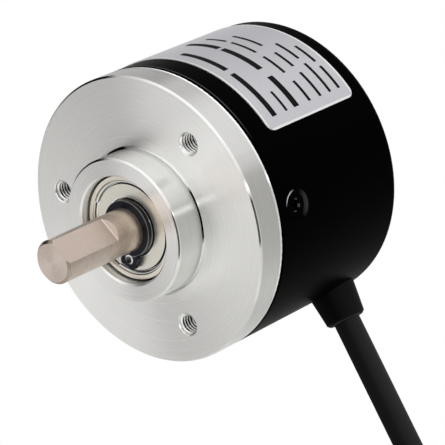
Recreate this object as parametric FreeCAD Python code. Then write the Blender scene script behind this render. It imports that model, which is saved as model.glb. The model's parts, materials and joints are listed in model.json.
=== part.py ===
"""Incremental optical rotary encoder: 40 mm housing, 6 mm D-cut shaft, side cable.

The shaft lies along Y and points to -Y. The origin is the centre of the mounting face.
Angles are in degrees round the shaft, from the cable side (-Z) towards +X.
"""
import FreeCAD, Part
import math
import os

V = FreeCAD.Vector
ORIGIN = V(0, 0, 0)
ALONG_SHAFT = V(0, 1, 0)
CABLE_WAY = V(0, 0, -1)
FULL_TURN = 360.0
QUARTER = 90.0
CUT_OVER = 1.0

# Housing
body_d = 40.0
rim_length = 4.4
rim_chamfer = 0.25
seam_round = 0.2
seam_chamfer = 0.15
cover_length = 24.9
cover_wall = 1.5
cover_fillet = 1.0
cover_inner_fillet = 0.4
spigot_length = 7.6
spigot_chamfer = 0.3
spigot_clearance = 0.05

# Pilot boss with its root groove
boss_d = 20.0
boss_height = 4.5
boss_chamfer = 0.25
root_groove_width = 0.5
root_groove_depth = 0.3
root_undercut = 0.2

# Tapped mounting holes, at the thread's outer diameter
mount_circle_d = 30.0
mount_count = 3
mount_hole_d = 3.0
mount_hole_depth = 6.5
mount_mouth_d = 3.3
mount_angle = 109.0
drill_point_angle = 118.0

# Shaft
shaft_d = 6.0
shaft_reach = 18.0
shaft_tip_chamfer = 0.4
flat_depth = 0.7
flat_length = 9.5
flat_run_out = 0.5
flat_angle = 103.5
collar_height = 0.8
collar_length = 1.5
shaft_tail_length = 4.9
shaft_tail_chamfer = 0.3

# Ball bearings, two alike
bearing_d = 15.0
bearing_width = 5.0
bearing_recess = 1.4
bearing_chamfer = 0.3
ball_d = 2.38
ball_count = 7
ball_clearance = 0.05
race_depth = 0.3
pocket_clearance = 0.03
cage_thickness = 0.6
cage_back = 1.5
cage_fingers = 0.35
inner_end_wall = 0.9
inner_end_depth = 0.75
shield_gap = 0.25
shield_sheet = 0.2
shield_depth = 0.3
shield_seat_wall = 0.85
shield_rim_width = 0.85
shield_step = 0.3
wire_d = 0.45
wire_gap_angle = -104.0
wire_gap_span = 89.0
bore_mouth_chamfer = 0.25
bearing_wall_height = 1.2
shoulder_length = 2.5

# Preload spring behind the bearing shoulder
spring_space = 0.8
spring_sheet = 0.25
spring_width = 0.7
spring_side_gap = 0.15
spring_wave_count = 3
spring_point_count = 24

# Snap ring in front of the front bearing
snap_thickness = 0.7
snap_play = 0.05
snap_groove_depth = 0.2
snap_band = 1.1
snap_offset = 0.1
snap_angle = -57.0
snap_gap = 0.6
ear_width = 2.6
ear_length = 1.2
ear_round = 0.5
ear_hole_d = 1.0
ear_hole_edge = 1.05

# Cover screws, seal and nameplate
screw_count = 3
screw_angle = 63.7
screw_setback = 3.8
screw_d = 2.0
screw_length = 4.2
screw_head_d = 3.5
screw_head_rim = 0.15
screw_sink = 0.4
thread_clearance = 0.05
seal_setback = 1.1
seal_section = 1.0
seal_squeeze = 0.1
seal_side_gap = 0.15
plate_thickness = 0.12
plate_angle = 93.0
plate_span = 83.0
plate_front_margin = 4.0
plate_back_margin = 3.0
plate_corner = 1.2

# Cable, its gland and its crimped ferrule
cable_d = 3.8
gland_from_back = 4.9
gland_rake = 5.5
gland_base_d = 6.6
gland_tip_d = 5.6
gland_height = 4.4
gland_tip_round = 0.3
gland_neck_d = 5.2
gland_neck_length = 2.0
gland_neck_clearance = 0.05
gland_collar_d = 6.1
gland_collar_length = 1.6
ferrule_wall = 0.6
ferrule_length = 2.0
jacket_past_ferrule = 0.7

# Code disc and its hub
hub_wall = 1.8
hub_length = 4.5
hub_flange_width = 2.2
hub_flange_length = 1.2
hub_spigot_wall = 0.5
hub_spigot_length = 0.25
set_screw_d = 2.0
set_screw_count = 2
set_screw_spacing = 90.0
disc_post_gap = 0.5
disc_thickness = 0.3
slit_count = 60
slit_width = 0.6
slit_length = 1.6
track_edge = 0.9
index_gap = 0.8
index_slit_length = 0.8

# Light source, mask and sensor, side by side at one angle
optics_angle = 183.7
lamp_gap = 0.6
holder_wall = 0.8
holder_round = 1.0
lamp_d = 3.0
lamp_lead_d = 0.5
lamp_lead_side_gap = 0.5
lamp_lead_disc_gap = 0.9
lamp_lead_stub = 0.8
mask_gap = 0.4
mask_thickness = 0.3
mask_width = 6.0
mask_depth = 5.0
sensor_width = 7.0
sensor_depth = 6.0
sensor_height = 1.4

# Circuit board on three standoffs
board_edge_gap = 0.9
board_thickness = 1.2
board_hole_clearance = 0.1
board_notch_gap = 0.5
standoff_count = 3
standoff_angle = 33.7
standoff_d = 3.6
standoff_inset = 1.8
stud_d = 2.0
stud_length = 3.0
stud_hole_extra = 0.5
board_screw_d = 2.0
board_screw_length = 4.0
board_screw_head_d = 3.8
board_screw_head_height = 1.3
driver_width = 9.9
driver_depth = 3.9
driver_height = 1.75
driver_z = 5.5
driver_edge = 0.3
capacitor_size = 2.0
capacitor_height = 1.25
capacitor_spacing = 4.2
capacitor_count = 4
capacitor_z = -0.5
header_width = 9.6
header_depth = 4.6
header_height = 3.2
header_z = -7.2
lead_count = 5
lead_d = 0.9
lead_spacing = 1.6
lead_circle_d = 2.2
lead_straight = 1.6
lead_insertion = 0.6

# Cord put away in a tied coil that hangs under the housing
coil_z = -66.0
coil_turn_d = 41.2
coil_layers = 2
coil_rows = 4
coil_pitch = 3.9
coil_round = 1.6
cable_end_angle = 33.0
end_lead_sweep = 65.0
end_lead_d = 1.0
end_lead_circle_d = 2.4
end_slot_sweep = 75.0
tie_width = 3.2
tie_sheet = 0.7

# Radii and places worked out from the sizes above
body_r = body_d / 2
cover_back = rim_length + cover_length
inside_r = body_r - cover_wall
inside_back = cover_back - cover_wall
spigot_r = inside_r - spigot_clearance
spigot_back = rim_length + spigot_length
shaft_r = shaft_d / 2
collar_r = shaft_r + collar_height
hub_r = shaft_r + hub_wall
hub_flange_r = hub_r + hub_flange_width
hub_spigot_r = shaft_r + hub_spigot_wall
snap_groove_r = shaft_r - snap_groove_depth
ear_reach = snap_groove_r + snap_band + ear_length
bearing_r = bearing_d / 2
ball_r = ball_d / 2
pitch_r = (shaft_r + bearing_r) / 2
inner_race_r = pitch_r - ball_r - ball_clearance
outer_race_r = pitch_r + ball_r + ball_clearance
inner_shoulder_r = inner_race_r + race_depth
outer_shoulder_r = outer_race_r - race_depth
inner_end_r = shaft_r + inner_end_wall
shield_seat_r = bearing_r - shield_seat_wall
front_bearing_y = bearing_recess - boss_height
shoulder_front = front_bearing_y + bearing_width
shoulder_back = shoulder_front + shoulder_length
rear_bearing_y = shoulder_back + spring_space
collar_y = rear_bearing_y + bearing_width
hub_y = collar_y + collar_length
disc_y = hub_y + hub_length
disc_back = disc_y + disc_thickness
mask_y = disc_back + mask_gap
sensor_y = mask_y + mask_thickness
board_y = sensor_y + sensor_height
board_back = board_y + board_thickness
board_r = inside_r - board_edge_gap
standoff_r = board_r - standoff_inset
disc_r = standoff_r - standoff_d / 2 - disc_post_gap
track_r = disc_r - track_edge - slit_length / 2
index_track_r = track_r - slit_length / 2 - index_gap - index_slit_length / 2
lamp_lead_r = disc_r + lamp_lead_disc_gap
lamp_lead_x = sensor_width / 2 + lamp_lead_side_gap
screw_y = rim_length + screw_setback
gland_y = cover_back - gland_from_back
gland_inner_end = inside_r - gland_collar_length
gland_root = V(0, gland_y, -body_r)
rake = math.radians(gland_rake)
raked_way = V(0, -math.sin(rake), -math.cos(rake))
jacket_end = gland_inner_end - ferrule_length - jacket_past_ferrule
cable_r = cable_d / 2
coil_depth = (coil_layers - 1) / 2 * coil_pitch
inner_turn_r = coil_turn_d / 2 - coil_depth
outer_turn_r = coil_turn_d / 2 + coil_depth
coil_outer_r = outer_turn_r + cable_r
coil_inner_r = inner_turn_r - cable_r
coil_half = (coil_rows - 1) / 2 * coil_pitch + cable_r
coil_x = cable_r - coil_half
coil_run = (outer_turn_r * math.sin(rake) - body_r - coil_z) / math.cos(rake)
coil_y = gland_y - coil_run * math.sin(rake) - outer_turn_r * math.cos(rake)


def polar(angle, radius, y):
    """Point at an angle round the shaft, a radius from its axis and a place along it."""
    turn = math.radians(angle)
    return V(radius * math.sin(turn), y, -radius * math.cos(turn))


def around(count, first_angle):
    """Evenly spaced angles of a round pattern."""
    return [first_angle + FULL_TURN * step / count for step in range(count)]


def turned(profile):
    """Solid of revolution about the shaft axis, from (radius, y) corners."""
    corners = [V(radius, y, 0) for radius, y in profile]
    outline = Part.makePolygon(corners + corners[:1])
    return Part.Face(outline).revolve(ORIGIN, ALONG_SHAFT, FULL_TURN)


def ring(inner_r, outer_r, start, end):
    """Plain ring about the shaft axis."""
    return turned([(inner_r, start), (outer_r, start), (outer_r, end), (inner_r, end)])


def disc(radius, start, end):
    """Plain round bar about the shaft axis."""
    return Part.makeCylinder(radius, end - start, V(0, start, 0), ALONG_SHAFT)


def rod(start, end, radius):
    """Round bar between two points."""
    way = end.sub(start)
    return Part.makeCylinder(radius, way.Length, start, way)


def pointed(shape, place, way):
    """Copy of a shape made along +Y, moved to a place and turned to point another way."""
    copy = shape.copy()
    copy.Placement = FreeCAD.Placement(place, FreeCAD.Rotation(ALONG_SHAFT, way))
    return copy


def inward(shape, angle, radius, y):
    """Copy of a shape made along +Y that points at the shaft axis from a radius."""
    return pointed(shape, polar(angle, radius, y), polar(angle, -1, 0))


def on_cable(shape):
    """Copy of a shape made along +Y with its heights laid outwards along the cable."""
    return pointed(shape, V(0, gland_y, 0), CABLE_WAY)


def block(angle, radius, width, depth, start, end):
    """Box at an angle round the shaft, its depth measured along the radius."""
    box = Part.makeBox(width, end - start, depth, V(-width / 2, start, -radius - depth / 2))
    box.rotate(ORIGIN, ALONG_SHAFT, -angle)
    return box


def circle_edges(shape, radius, y):
    """Round edges of a turned shape with one radius at one place along the shaft."""
    near = 1e-4
    found = []
    for edge in shape.Edges:
        curve = edge.Curve
        if isinstance(curve, Part.Circle) and abs(curve.Radius - radius) < near:
            if abs(curve.Center.y - y) < near and abs(curve.Axis.y) > 1 - near:
                found.append(edge)
    return found


def edges_along(shape, way):
    """Straight edges of a shape that run along a direction."""
    near = 1e-4
    straight = [edge for edge in shape.Edges if isinstance(edge.Curve, Part.Line)]
    return [edge for edge in straight if edge.Curve.Direction.cross(way).Length < near]


def group(solids):
    """Several separate solids in one node."""
    return Part.makeCompound(solids)


def tube(points, radius):
    """Tube of straight runs joined by tangent arcs, each as large as its runs allow."""
    arc_share = 0.45
    edges = []
    start = points[0]
    for before, corner, after in zip(points, points[1:], points[2:]):
        way_in = corner.sub(before)
        way_out = after.sub(corner)
        half_turn = way_in.getAngle(way_out) / 2
        reach = arc_share * min(way_in.Length, way_out.Length)
        way_in.normalize()
        way_out.normalize()
        arc_start = corner - way_in * reach
        arc_end = corner + way_out * reach
        bend_r = reach / math.tan(half_turn)
        to_centre = (way_out - way_in).normalize()
        middle = corner + to_centre * (bend_r / math.cos(half_turn) - bend_r)
        edges.append(Part.LineSegment(start, arc_start).toShape())
        edges.append(Part.Arc(arc_start, middle, arc_end).toShape())
        start = arc_end
    edges.append(Part.LineSegment(start, points[-1]).toShape())
    section = Part.Wire(Part.makeCircle(radius, points[0], points[1].sub(points[0])))
    return Part.Wire(edges).makePipeShell([section], True, True)


def make_base_flange():
    """Turned aluminium base: pilot boss, mounting rim, cover spigot and bearing seats."""
    boss_r = boss_d / 2
    groove_r = boss_r + root_groove_width
    mouth_r = bearing_r + bore_mouth_chamfer
    land_r = bearing_r - bearing_wall_height
    seal_front = rim_length + seal_setback
    seal_back = seal_front + seal_section + 2 * seal_side_gap
    seal_floor_r = inside_r - seal_section + seal_squeeze
    body = turned([
        (mouth_r, -boss_height),
        (boss_r - boss_chamfer, -boss_height),
        (boss_r, boss_chamfer - boss_height),
        (boss_r, 0),
        (boss_r - root_undercut, root_groove_depth),
        (groove_r, root_groove_depth),
        (groove_r, 0),
        (body_r - rim_chamfer, 0),
        (body_r, rim_chamfer),
        (body_r, rim_length),
        (spigot_r, rim_length),
        (spigot_r, seal_front),
        (seal_floor_r, seal_front),
        (seal_floor_r, seal_back),
        (spigot_r, seal_back),
        (spigot_r, spigot_back - spigot_chamfer),
        (spigot_r - spigot_chamfer, spigot_back),
        (mouth_r, spigot_back),
        (bearing_r, spigot_back - bore_mouth_chamfer),
        (bearing_r, shoulder_back),
        (land_r, shoulder_back),
        (land_r, shoulder_front),
        (bearing_r, shoulder_front),
        (bearing_r, bore_mouth_chamfer - boss_height),
    ])
    body = body.makeFillet(seam_round, circle_edges(body, body_r, rim_length))
    hole_r = mount_hole_d / 2
    mouth = mount_mouth_d / 2
    point = hole_r / math.tan(math.radians(drill_point_angle / 2))
    mount_hole = turned([
        (0, -CUT_OVER),
        (mouth + CUT_OVER, -CUT_OVER),
        (hole_r, mouth - hole_r),
        (hole_r, mount_hole_depth),
        (0, mount_hole_depth + point),
    ])
    screw_hole = disc(screw_d / 2 + thread_clearance, 0, body_r - spigot_r + screw_length)
    stud_hole = disc(stud_d / 2 + thread_clearance, -stud_length - stud_hole_extra, CUT_OVER)
    cuts = []
    for angle in around(mount_count, mount_angle):
        cuts.append(mount_hole.translated(polar(angle, mount_circle_d / 2, 0)))
    for angle in around(screw_count, screw_angle):
        cuts.append(inward(screw_hole, angle, body_r, screw_y))
    for angle in around(standoff_count, standoff_angle):
        cuts.append(stud_hole.translated(polar(angle, standoff_r, spigot_back)))
    return body.cut(cuts)


def countersunk(clearance):
    """Countersunk screw form along +Y with its head at the origin."""
    head_r = screw_head_d / 2
    shank_r = screw_d / 2
    cone = head_r - shank_r
    return turned([
        (0, 0),
        (head_r, 0),
        (head_r, screw_head_rim),
        (shank_r + clearance, screw_head_rim + cone - clearance),
        (shank_r + clearance, screw_length),
        (0, screw_length),
    ])


def make_cavity():
    """Space inside the cover, open past its front edge."""
    space = disc(inside_r, rim_length - CUT_OVER, inside_back)
    return space.makeFillet(cover_inner_fillet, circle_edges(space, inside_r, inside_back))


def make_cover():
    """Painted cup over the works, with its screw holes and the gland's hole."""
    cup = turned([
        (0, rim_length),
        (body_r - seam_chamfer, rim_length),
        (body_r, rim_length + seam_chamfer),
        (body_r, cover_back),
        (0, cover_back),
    ])
    cup = cup.makeFillet(cover_fillet, circle_edges(cup, body_r, cover_back))
    head_r = screw_head_d / 2
    over = screw_sink + CUT_OVER
    mouth = turned([(0, -over), (head_r + over, -over), (head_r, 0), (0, 0)])
    screw_hole = countersunk(thread_clearance).fuse(mouth)
    cuts = [inward(screw_hole, angle, body_r - screw_sink, screw_y)
            for angle in around(screw_count, screw_angle)]
    gland_hole = disc(gland_neck_d / 2 + gland_neck_clearance, gland_inner_end, body_r + CUT_OVER)
    cuts.append(on_cable(gland_hole))
    return cup.cut([make_cavity()] + cuts)


def make_cover_screws():
    """Countersunk screws that hold the cover to the spigot."""
    screw = countersunk(0)
    return group([inward(screw, angle, body_r - screw_sink, screw_y)
                  for angle in around(screw_count, screw_angle)])


def make_cover_seal():
    """O-ring in the spigot's groove, squeezed between its floor and the cover."""
    section_r = (seal_section - seal_squeeze) / 2
    middle_y = rim_length + seal_setback + seal_side_gap + seal_section / 2
    return Part.makeTorus(inside_r - section_r, section_r, V(0, middle_y, 0), ALONG_SHAFT)


def make_nameplate():
    """Thin blank plate bent round the cover, with rounded corners."""
    front = rim_length + plate_front_margin
    back = cover_back - plate_back_margin
    outer_r = body_r + plate_thickness
    corners = [V(body_r, front, 0), V(outer_r, front, 0), V(outer_r, back, 0), V(body_r, back, 0)]
    section = Part.Face(Part.makePolygon(corners + corners[:1]))
    plate = section.revolve(ORIGIN, -ALONG_SHAFT, plate_span)
    short = [edge for edge in plate.Edges if abs(edge.Length - plate_thickness) < plate_thickness / 10]
    plate = plate.makeFillet(plate_corner, short)
    plate.rotate(ORIGIN, -ALONG_SHAFT, plate_angle - QUARTER)
    return plate


def make_cable_gland():
    """Rubber bushing: raked taper sleeve outside, neck in the cover's hole, collar inside."""
    base_r = gland_base_d / 2
    tip_r = gland_tip_d / 2
    taper = (base_r - tip_r) / gland_height
    sleeve = turned([
        (0, -cover_wall),
        (base_r + taper * cover_wall, -cover_wall),
        (tip_r + taper * gland_tip_round, gland_height - gland_tip_round),
        (tip_r - gland_tip_round, gland_height),
        (0, gland_height),
    ])
    sleeve = pointed(sleeve, gland_root, raked_way).cut(disc(body_r, 0, cover_back))
    neck = on_cable(disc(gland_neck_d / 2, gland_inner_end, inside_r + gland_neck_length))
    collar = on_cable(disc(gland_collar_d / 2, gland_inner_end, body_r))
    collar = collar.common(make_cavity())
    return sleeve.fuse([neck, collar]).cut(make_cable()).removeSplitter()


def make_cable_ferrule():
    """Crimped sleeve on the jacket that keeps the cable from pulling out."""
    sleeve = ring(cable_r, cable_r + ferrule_wall, gland_inner_end - ferrule_length, gland_inner_end)
    return on_cable(sleeve)


def make_outer_ring(start):
    """Bearing outer ring with its ball groove and a shield seat at each end."""
    end = start + bearing_width
    seat = shield_depth + shield_step + shield_sheet
    corner_r = bearing_r - bearing_chamfer
    body = turned([
        (shield_seat_r, start),
        (corner_r, start),
        (bearing_r, start + bearing_chamfer),
        (bearing_r, end - bearing_chamfer),
        (corner_r, end),
        (shield_seat_r, end),
        (shield_seat_r, end - seat),
        (outer_shoulder_r, end - seat),
        (outer_shoulder_r, start + seat),
        (shield_seat_r, start + seat),
    ])
    middle = V(0, start + bearing_width / 2, 0)
    return body.cut(Part.makeTorus(pitch_r, ball_r + ball_clearance, middle, ALONG_SHAFT))


def make_inner_ring(start):
    """Bearing inner ring with its ball groove and stepped ends under the shields."""
    end = start + bearing_width
    corner = bearing_chamfer / 2
    body = turned([
        (shaft_r, start),
        (inner_end_r - corner, start),
        (inner_end_r, start + corner),
        (inner_end_r, start + inner_end_depth),
        (inner_shoulder_r, start + inner_end_depth),
        (inner_shoulder_r, end - inner_end_depth),
        (inner_end_r, end - inner_end_depth),
        (inner_end_r, end - corner),
        (inner_end_r - corner, end),
        (shaft_r, end),
    ])
    middle = V(0, start + bearing_width / 2, 0)
    return body.cut(Part.makeTorus(pitch_r, ball_r + ball_clearance, middle, ALONG_SHAFT))


def make_shield(face, inwards):
    """Pressed shield: flat web near the bearing's face and a sunk rim under its wire."""
    web_r = shield_seat_r - shield_rim_width + shield_sheet
    eye_r = inner_end_r + shield_gap
    front = shield_depth
    back = front + shield_sheet
    rim_front = front + shield_step
    rim_back = rim_front + shield_sheet
    profile = [
        (eye_r, front),
        (web_r, front),
        (web_r, rim_front),
        (shield_seat_r, rim_front),
        (shield_seat_r, rim_back),
        (web_r - shield_sheet, rim_back),
        (web_r - shield_sheet, back),
        (eye_r, back),
    ]
    return turned([(radius, face + inwards * depth) for radius, depth in profile])


def make_shield_wire(face, inwards):
    """Open wire ring that holds a shield's rim in its seat."""
    wire_r = wire_d / 2
    depth = shield_depth + shield_step - wire_r
    start = polar(wire_gap_angle + wire_gap_span / 2, shield_seat_r - wire_r, face + inwards * depth)
    section = Part.makeCircle(wire_r, start, start.cross(ALONG_SHAFT))
    return Part.Face(Part.Wire(section)).revolve(ORIGIN, -ALONG_SHAFT, FULL_TURN - wire_gap_span)


def both_ends(make, start):
    """The same bearing piece at the two faces of one bearing."""
    return group([make(start, 1), make(start + bearing_width, -1)])


def make_balls(start):
    """Bearing balls on their pitch circle."""
    middle = start + bearing_width / 2
    return [Part.makeSphere(ball_r, polar(angle, pitch_r, middle)) for angle in around(ball_count, 0)]


def make_cage(start):
    """Crown cage: a ring on one side of the balls with fingers between them."""
    middle = start + bearing_width / 2
    crown = ring(pitch_r - cage_thickness / 2, pitch_r + cage_thickness / 2,
                 middle - cage_fingers, middle + cage_back)
    pocket_r = ball_r + pocket_clearance
    pockets = [Part.makeSphere(pocket_r, ball.BoundBox.Center) for ball in make_balls(start)]
    return crown.cut(pockets)


def make_preload_spring():
    """Wave spring that presses the rear bearing away from the shoulder."""
    outer_r = bearing_r - spring_side_gap
    inner_r = outer_r - spring_width
    lift = (spring_space - spring_sheet) / 2
    middle = shoulder_back + spring_space / 2

    def wave(radius, height):
        points = []
        for angle in around(spring_point_count, 0):
            rise = lift * math.sin(spring_wave_count * math.radians(angle))
            points.append(polar(angle, radius, middle + height + rise))
        curve = Part.BSplineCurve()
        curve.interpolate(Points=points, PeriodicFlag=True)
        return curve.toShape()

    half = spring_sheet / 2
    loops = [wave(inner_r, -half), wave(outer_r, -half), wave(outer_r, half), wave(inner_r, half)]
    faces = [Part.makeRuledSurface(one, two) for one, two in zip(loops, loops[1:] + loops[:1])]
    return Part.Solid(Part.makeShell([face for surface in faces for face in surface.Faces]))


def make_shaft():
    """Stepped shaft: D-cut drive end, snap ring groove, bearing collar and hub seat."""
    tip = -shaft_reach
    flat_end = tip + flat_length
    groove_front = front_bearing_y - snap_thickness - snap_play
    tail = hub_y + shaft_tail_length
    body = turned([
        (0, tip),
        (shaft_r - shaft_tip_chamfer, tip),
        (shaft_r, tip + shaft_tip_chamfer),
        (shaft_r, flat_end),
        (shaft_r, groove_front),
        (snap_groove_r, groove_front),
        (snap_groove_r, front_bearing_y),
        (shaft_r, front_bearing_y),
        (shaft_r, collar_y),
        (collar_r, collar_y),
        (collar_r, hub_y),
        (shaft_r, hub_y),
        (shaft_r, tail - shaft_tail_chamfer),
        (shaft_r - shaft_tail_chamfer, tail),
        (0, tail),
    ])
    flat_height = shaft_r - flat_depth
    profile = [
        V(0, tip - CUT_OVER, -flat_height),
        V(0, flat_end, -flat_height),
        V(0, flat_end + flat_run_out, -shaft_r),
        V(0, flat_end + flat_run_out, -shaft_r - CUT_OVER),
        V(0, tip - CUT_OVER, -shaft_r - CUT_OVER),
    ]
    cutter = Part.Face(Part.makePolygon(profile + profile[:1])).extrude(V(shaft_d, 0, 0))
    cutter.translate(V(-shaft_r, 0, 0))
    cutter.rotate(ORIGIN, ALONG_SHAFT, -flat_angle)
    return body.cut(cutter)


def make_snap_ring():
    """Retaining ring with two eared ends, sprung into the shaft's groove."""
    back = front_bearing_y
    front = back - snap_thickness
    band = disc(snap_groove_r + snap_band, front, back).translated(V(0, 0, snap_offset))
    ear_depth = ear_reach - snap_groove_r
    ear_x = (snap_gap + ear_width) / 2
    ears = []
    holes = []
    for side in (-1, 1):
        corner = V(side * ear_x - ear_width / 2, front, -ear_reach)
        ear = Part.makeBox(ear_width, snap_thickness, ear_depth, corner)
        ears.append(ear.makeFillet(ear_round, edges_along(ear, ALONG_SHAFT)))
        hole_z = ear_hole_edge - ear_reach
        hole = disc(ear_hole_d / 2, front - CUT_OVER, back + CUT_OVER)
        holes.append(hole.translated(V(side * ear_x, 0, hole_z)))
    gap = Part.makeBox(snap_gap, snap_thickness + 2 * CUT_OVER, ear_reach + CUT_OVER,
                       V(-snap_gap / 2, front - CUT_OVER, -ear_reach - CUT_OVER))
    eye = disc(snap_groove_r, front - CUT_OVER, back + CUT_OVER)
    shape = band.fuse(ears).cut([gap, eye] + holes).removeSplitter()
    shape.rotate(ORIGIN, ALONG_SHAFT, -snap_angle)
    return shape


def make_disc_hub():
    """Flanged hub that carries the code disc, held on the shaft by set screws."""
    flange_front = disc_y - hub_flange_length
    body = turned([
        (shaft_r, hub_y),
        (hub_r, hub_y),
        (hub_r, flange_front),
        (hub_flange_r, flange_front),
        (hub_flange_r, disc_y),
        (hub_spigot_r, disc_y),
        (hub_spigot_r, disc_y + hub_spigot_length),
        (shaft_r, disc_y + hub_spigot_length),
    ])
    hole = disc(set_screw_d / 2 + thread_clearance, -CUT_OVER, hub_r)
    angles = [set_screw_spacing * step for step in range(set_screw_count)]
    return body.cut([inward(hole, angle, hub_r, set_screw_y()) for angle in angles])


def set_screw_y():
    """Middle of the hub's plain length."""
    return hub_y + (hub_length - hub_flange_length) / 2


def make_hub_set_screws():
    """Grub screws through the hub, with their points on the shaft."""
    screw = disc(set_screw_d / 2, 0, hub_r - shaft_r)
    angles = [set_screw_spacing * step for step in range(set_screw_count)]
    return group([inward(screw, angle, hub_r, set_screw_y()) for angle in angles])


def make_code_disc():
    """Thin slotted disc: one ring of slits and a single index slit."""
    plate = ring(hub_spigot_r, disc_r, disc_y, disc_back)
    front = disc_y - CUT_OVER
    back = disc_back + CUT_OVER
    slits = [block(angle, track_r, slit_width, slit_length, front, back)
             for angle in around(slit_count, 0)]
    slits.append(block(0, index_track_r, slit_width, index_slit_length, front, back))
    return plate.cut(slits)


def lamp_lead_place(side, y):
    """Place of one lamp lead, clear of the disc's edge."""
    place = V(side * lamp_lead_x, y, -lamp_lead_r)
    return FreeCAD.Rotation(ALONG_SHAFT, -optics_angle).multVec(place)


def make_led_holder():
    """Moulded seat for the lamp on the back of the base, in front of the code track."""
    top = disc_y - lamp_gap
    width = 2 * (lamp_lead_x + holder_wall)
    inner_r = track_r - lamp_d / 2 - holder_wall
    outer_r = lamp_lead_r + lamp_lead_d / 2 + holder_wall
    body = block(optics_angle, (inner_r + outer_r) / 2, width, outer_r - inner_r, spigot_back, top)
    body = body.makeFillet(holder_round, edges_along(body, ALONG_SHAFT))
    seat = disc(lamp_d / 2, spigot_back - CUT_OVER, top + CUT_OVER)
    cuts = [seat.translated(polar(optics_angle, track_r, 0))]
    for side in (-1, 1):
        foot = lamp_lead_place(side, spigot_back + lamp_lead_stub)
        cuts.append(rod(foot, lamp_lead_place(side, top + CUT_OVER), lamp_lead_d / 2))
    return body.cut(cuts)


def make_led_emitter():
    """Infrared lamp with a domed lens, standing in its holder."""
    top = disc_y - lamp_gap
    lamp_r = lamp_d / 2
    body = disc(lamp_r, spigot_back, top - lamp_r)
    dome = Part.makeSphere(lamp_r, V(0, top - lamp_r, 0), ALONG_SHAFT, 0, QUARTER)
    lamp = body.fuse(dome).removeSplitter()
    return lamp.translated(polar(optics_angle, track_r, 0))


def make_led_leads():
    """Two wires from the lamp's holder through the circuit board."""
    start = spigot_back + lamp_lead_stub
    end = board_back + lamp_lead_stub
    return group([rod(lamp_lead_place(side, start), lamp_lead_place(side, end), lamp_lead_d / 2)
                  for side in (-1, 1)])


def make_index_mask():
    """Glass mask between the code track and the sensor."""
    return block(optics_angle, track_r, mask_width, mask_depth, mask_y, sensor_y)


def make_photo_sensor():
    """Photodiode package on the front of the circuit board."""
    return block(optics_angle, track_r, sensor_width, sensor_depth, sensor_y, board_y)


def make_circuit_board():
    """Round circuit board with a notch for the cable, screw holes and the lamp's lead holes."""
    plate = disc(board_r, board_y, board_back)
    front = board_y - CUT_OVER
    back = board_back + CUT_OVER
    screw_hole = disc(board_screw_d / 2 + board_hole_clearance, front, back)
    cuts = [screw_hole.translated(polar(angle, standoff_r, 0))
            for angle in around(standoff_count, standoff_angle)]
    notch_end = jacket_end - board_notch_gap
    notch_depth = board_r - notch_end + CUT_OVER
    notch_width = gland_collar_d + 2 * board_notch_gap
    cuts.append(block(0, notch_end + notch_depth / 2, notch_width, notch_depth, front, back))
    for side in (-1, 1):
        lead_hole = rod(lamp_lead_place(side, front), lamp_lead_place(side, back), lamp_lead_d / 2)
        cuts.append(lead_hole)
    return plate.cut(cuts)


def make_board_standoffs():
    """Threaded posts that carry the circuit board behind the code disc."""
    post = disc(standoff_d / 2, spigot_back, board_y)
    stud = disc(stud_d / 2, spigot_back - stud_length, spigot_back)
    depth = board_screw_length - board_thickness + stud_hole_extra
    hole = disc(board_screw_d / 2 + thread_clearance, board_y - depth, board_y + CUT_OVER)
    standoff = post.fuse(stud).cut(hole)
    return group([standoff.translated(polar(angle, standoff_r, 0))
                  for angle in around(standoff_count, standoff_angle)])


def make_board_screws():
    """Pan head screws that hold the board to its standoffs."""
    shank = disc(board_screw_d / 2, board_back - board_screw_length, board_back)
    head = disc(board_screw_head_d / 2, board_back, board_back + board_screw_head_height)
    screw = shank.fuse(head)
    return group([screw.translated(polar(angle, standoff_r, 0))
                  for angle in around(standoff_count, standoff_angle)])


def on_board(width, depth, height, x, z):
    """Box on the rear of the circuit board, by its middle."""
    return Part.makeBox(width, height, depth, V(x - width / 2, board_back, z - depth / 2))


def make_output_driver():
    """Line driver chip on the rear of the circuit board."""
    chip = on_board(driver_width, driver_depth, driver_height, 0, driver_z)
    top = [edge for edge in chip.Edges if edge.BoundBox.YMin > board_back]
    return chip.makeChamfer(driver_edge, top)


def make_board_capacitors():
    """Row of chip capacitors on the rear of the circuit board."""
    first = -(capacitor_count - 1) / 2 * capacitor_spacing
    return group([on_board(capacitor_size, capacitor_size / 2, capacitor_height,
                           first + step * capacitor_spacing, capacitor_z)
                  for step in range(capacitor_count)])


def lead_offsets():
    """Lead numbers counted from the middle one."""
    return [number - (lead_count - 1) / 2 for number in range(lead_count)]


def header_entry(offset):
    """Point where one lead enters the header's lower side."""
    return V(offset * lead_spacing, board_back + header_height / 2, header_z - header_depth / 2)


def make_wire_header():
    """Side entry wire header on the rear of the circuit board."""
    body = on_board(header_width, header_depth, header_height, 0, header_z)
    sockets = []
    for offset in lead_offsets():
        entry = header_entry(offset)
        sockets.append(rod(entry - V(0, 0, CUT_OVER), entry + V(0, 0, lead_insertion), lead_d / 2))
    return body.cut(sockets)


def make_lead_wires():
    """Insulated leads from the stripped jacket end to the header."""
    leads = []
    for number, offset in enumerate(lead_offsets()):
        turn = math.radians(FULL_TURN * number / lead_count)
        spread = lead_circle_d / 2
        start = V(spread * math.sin(turn), gland_y + spread * math.cos(turn), -jacket_end)
        entry = header_entry(offset)
        end = entry + V(0, 0, lead_insertion)
        points = [start, start + V(0, 0, lead_straight), entry - V(0, 0, lead_straight), end]
        leads.append(tube(points, lead_d / 2))
    return group(leads)


def make_cable():
    """Cable from its stripped end, through the gland and down to the coil."""
    drop = math.sqrt(coil_outer_r ** 2 - (coil_outer_r - cable_r) ** 2)
    end = gland_root + raked_way * (coil_run - drop)
    return tube([V(0, gland_y, -jacket_end), gland_root, end], cable_r)


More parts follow.
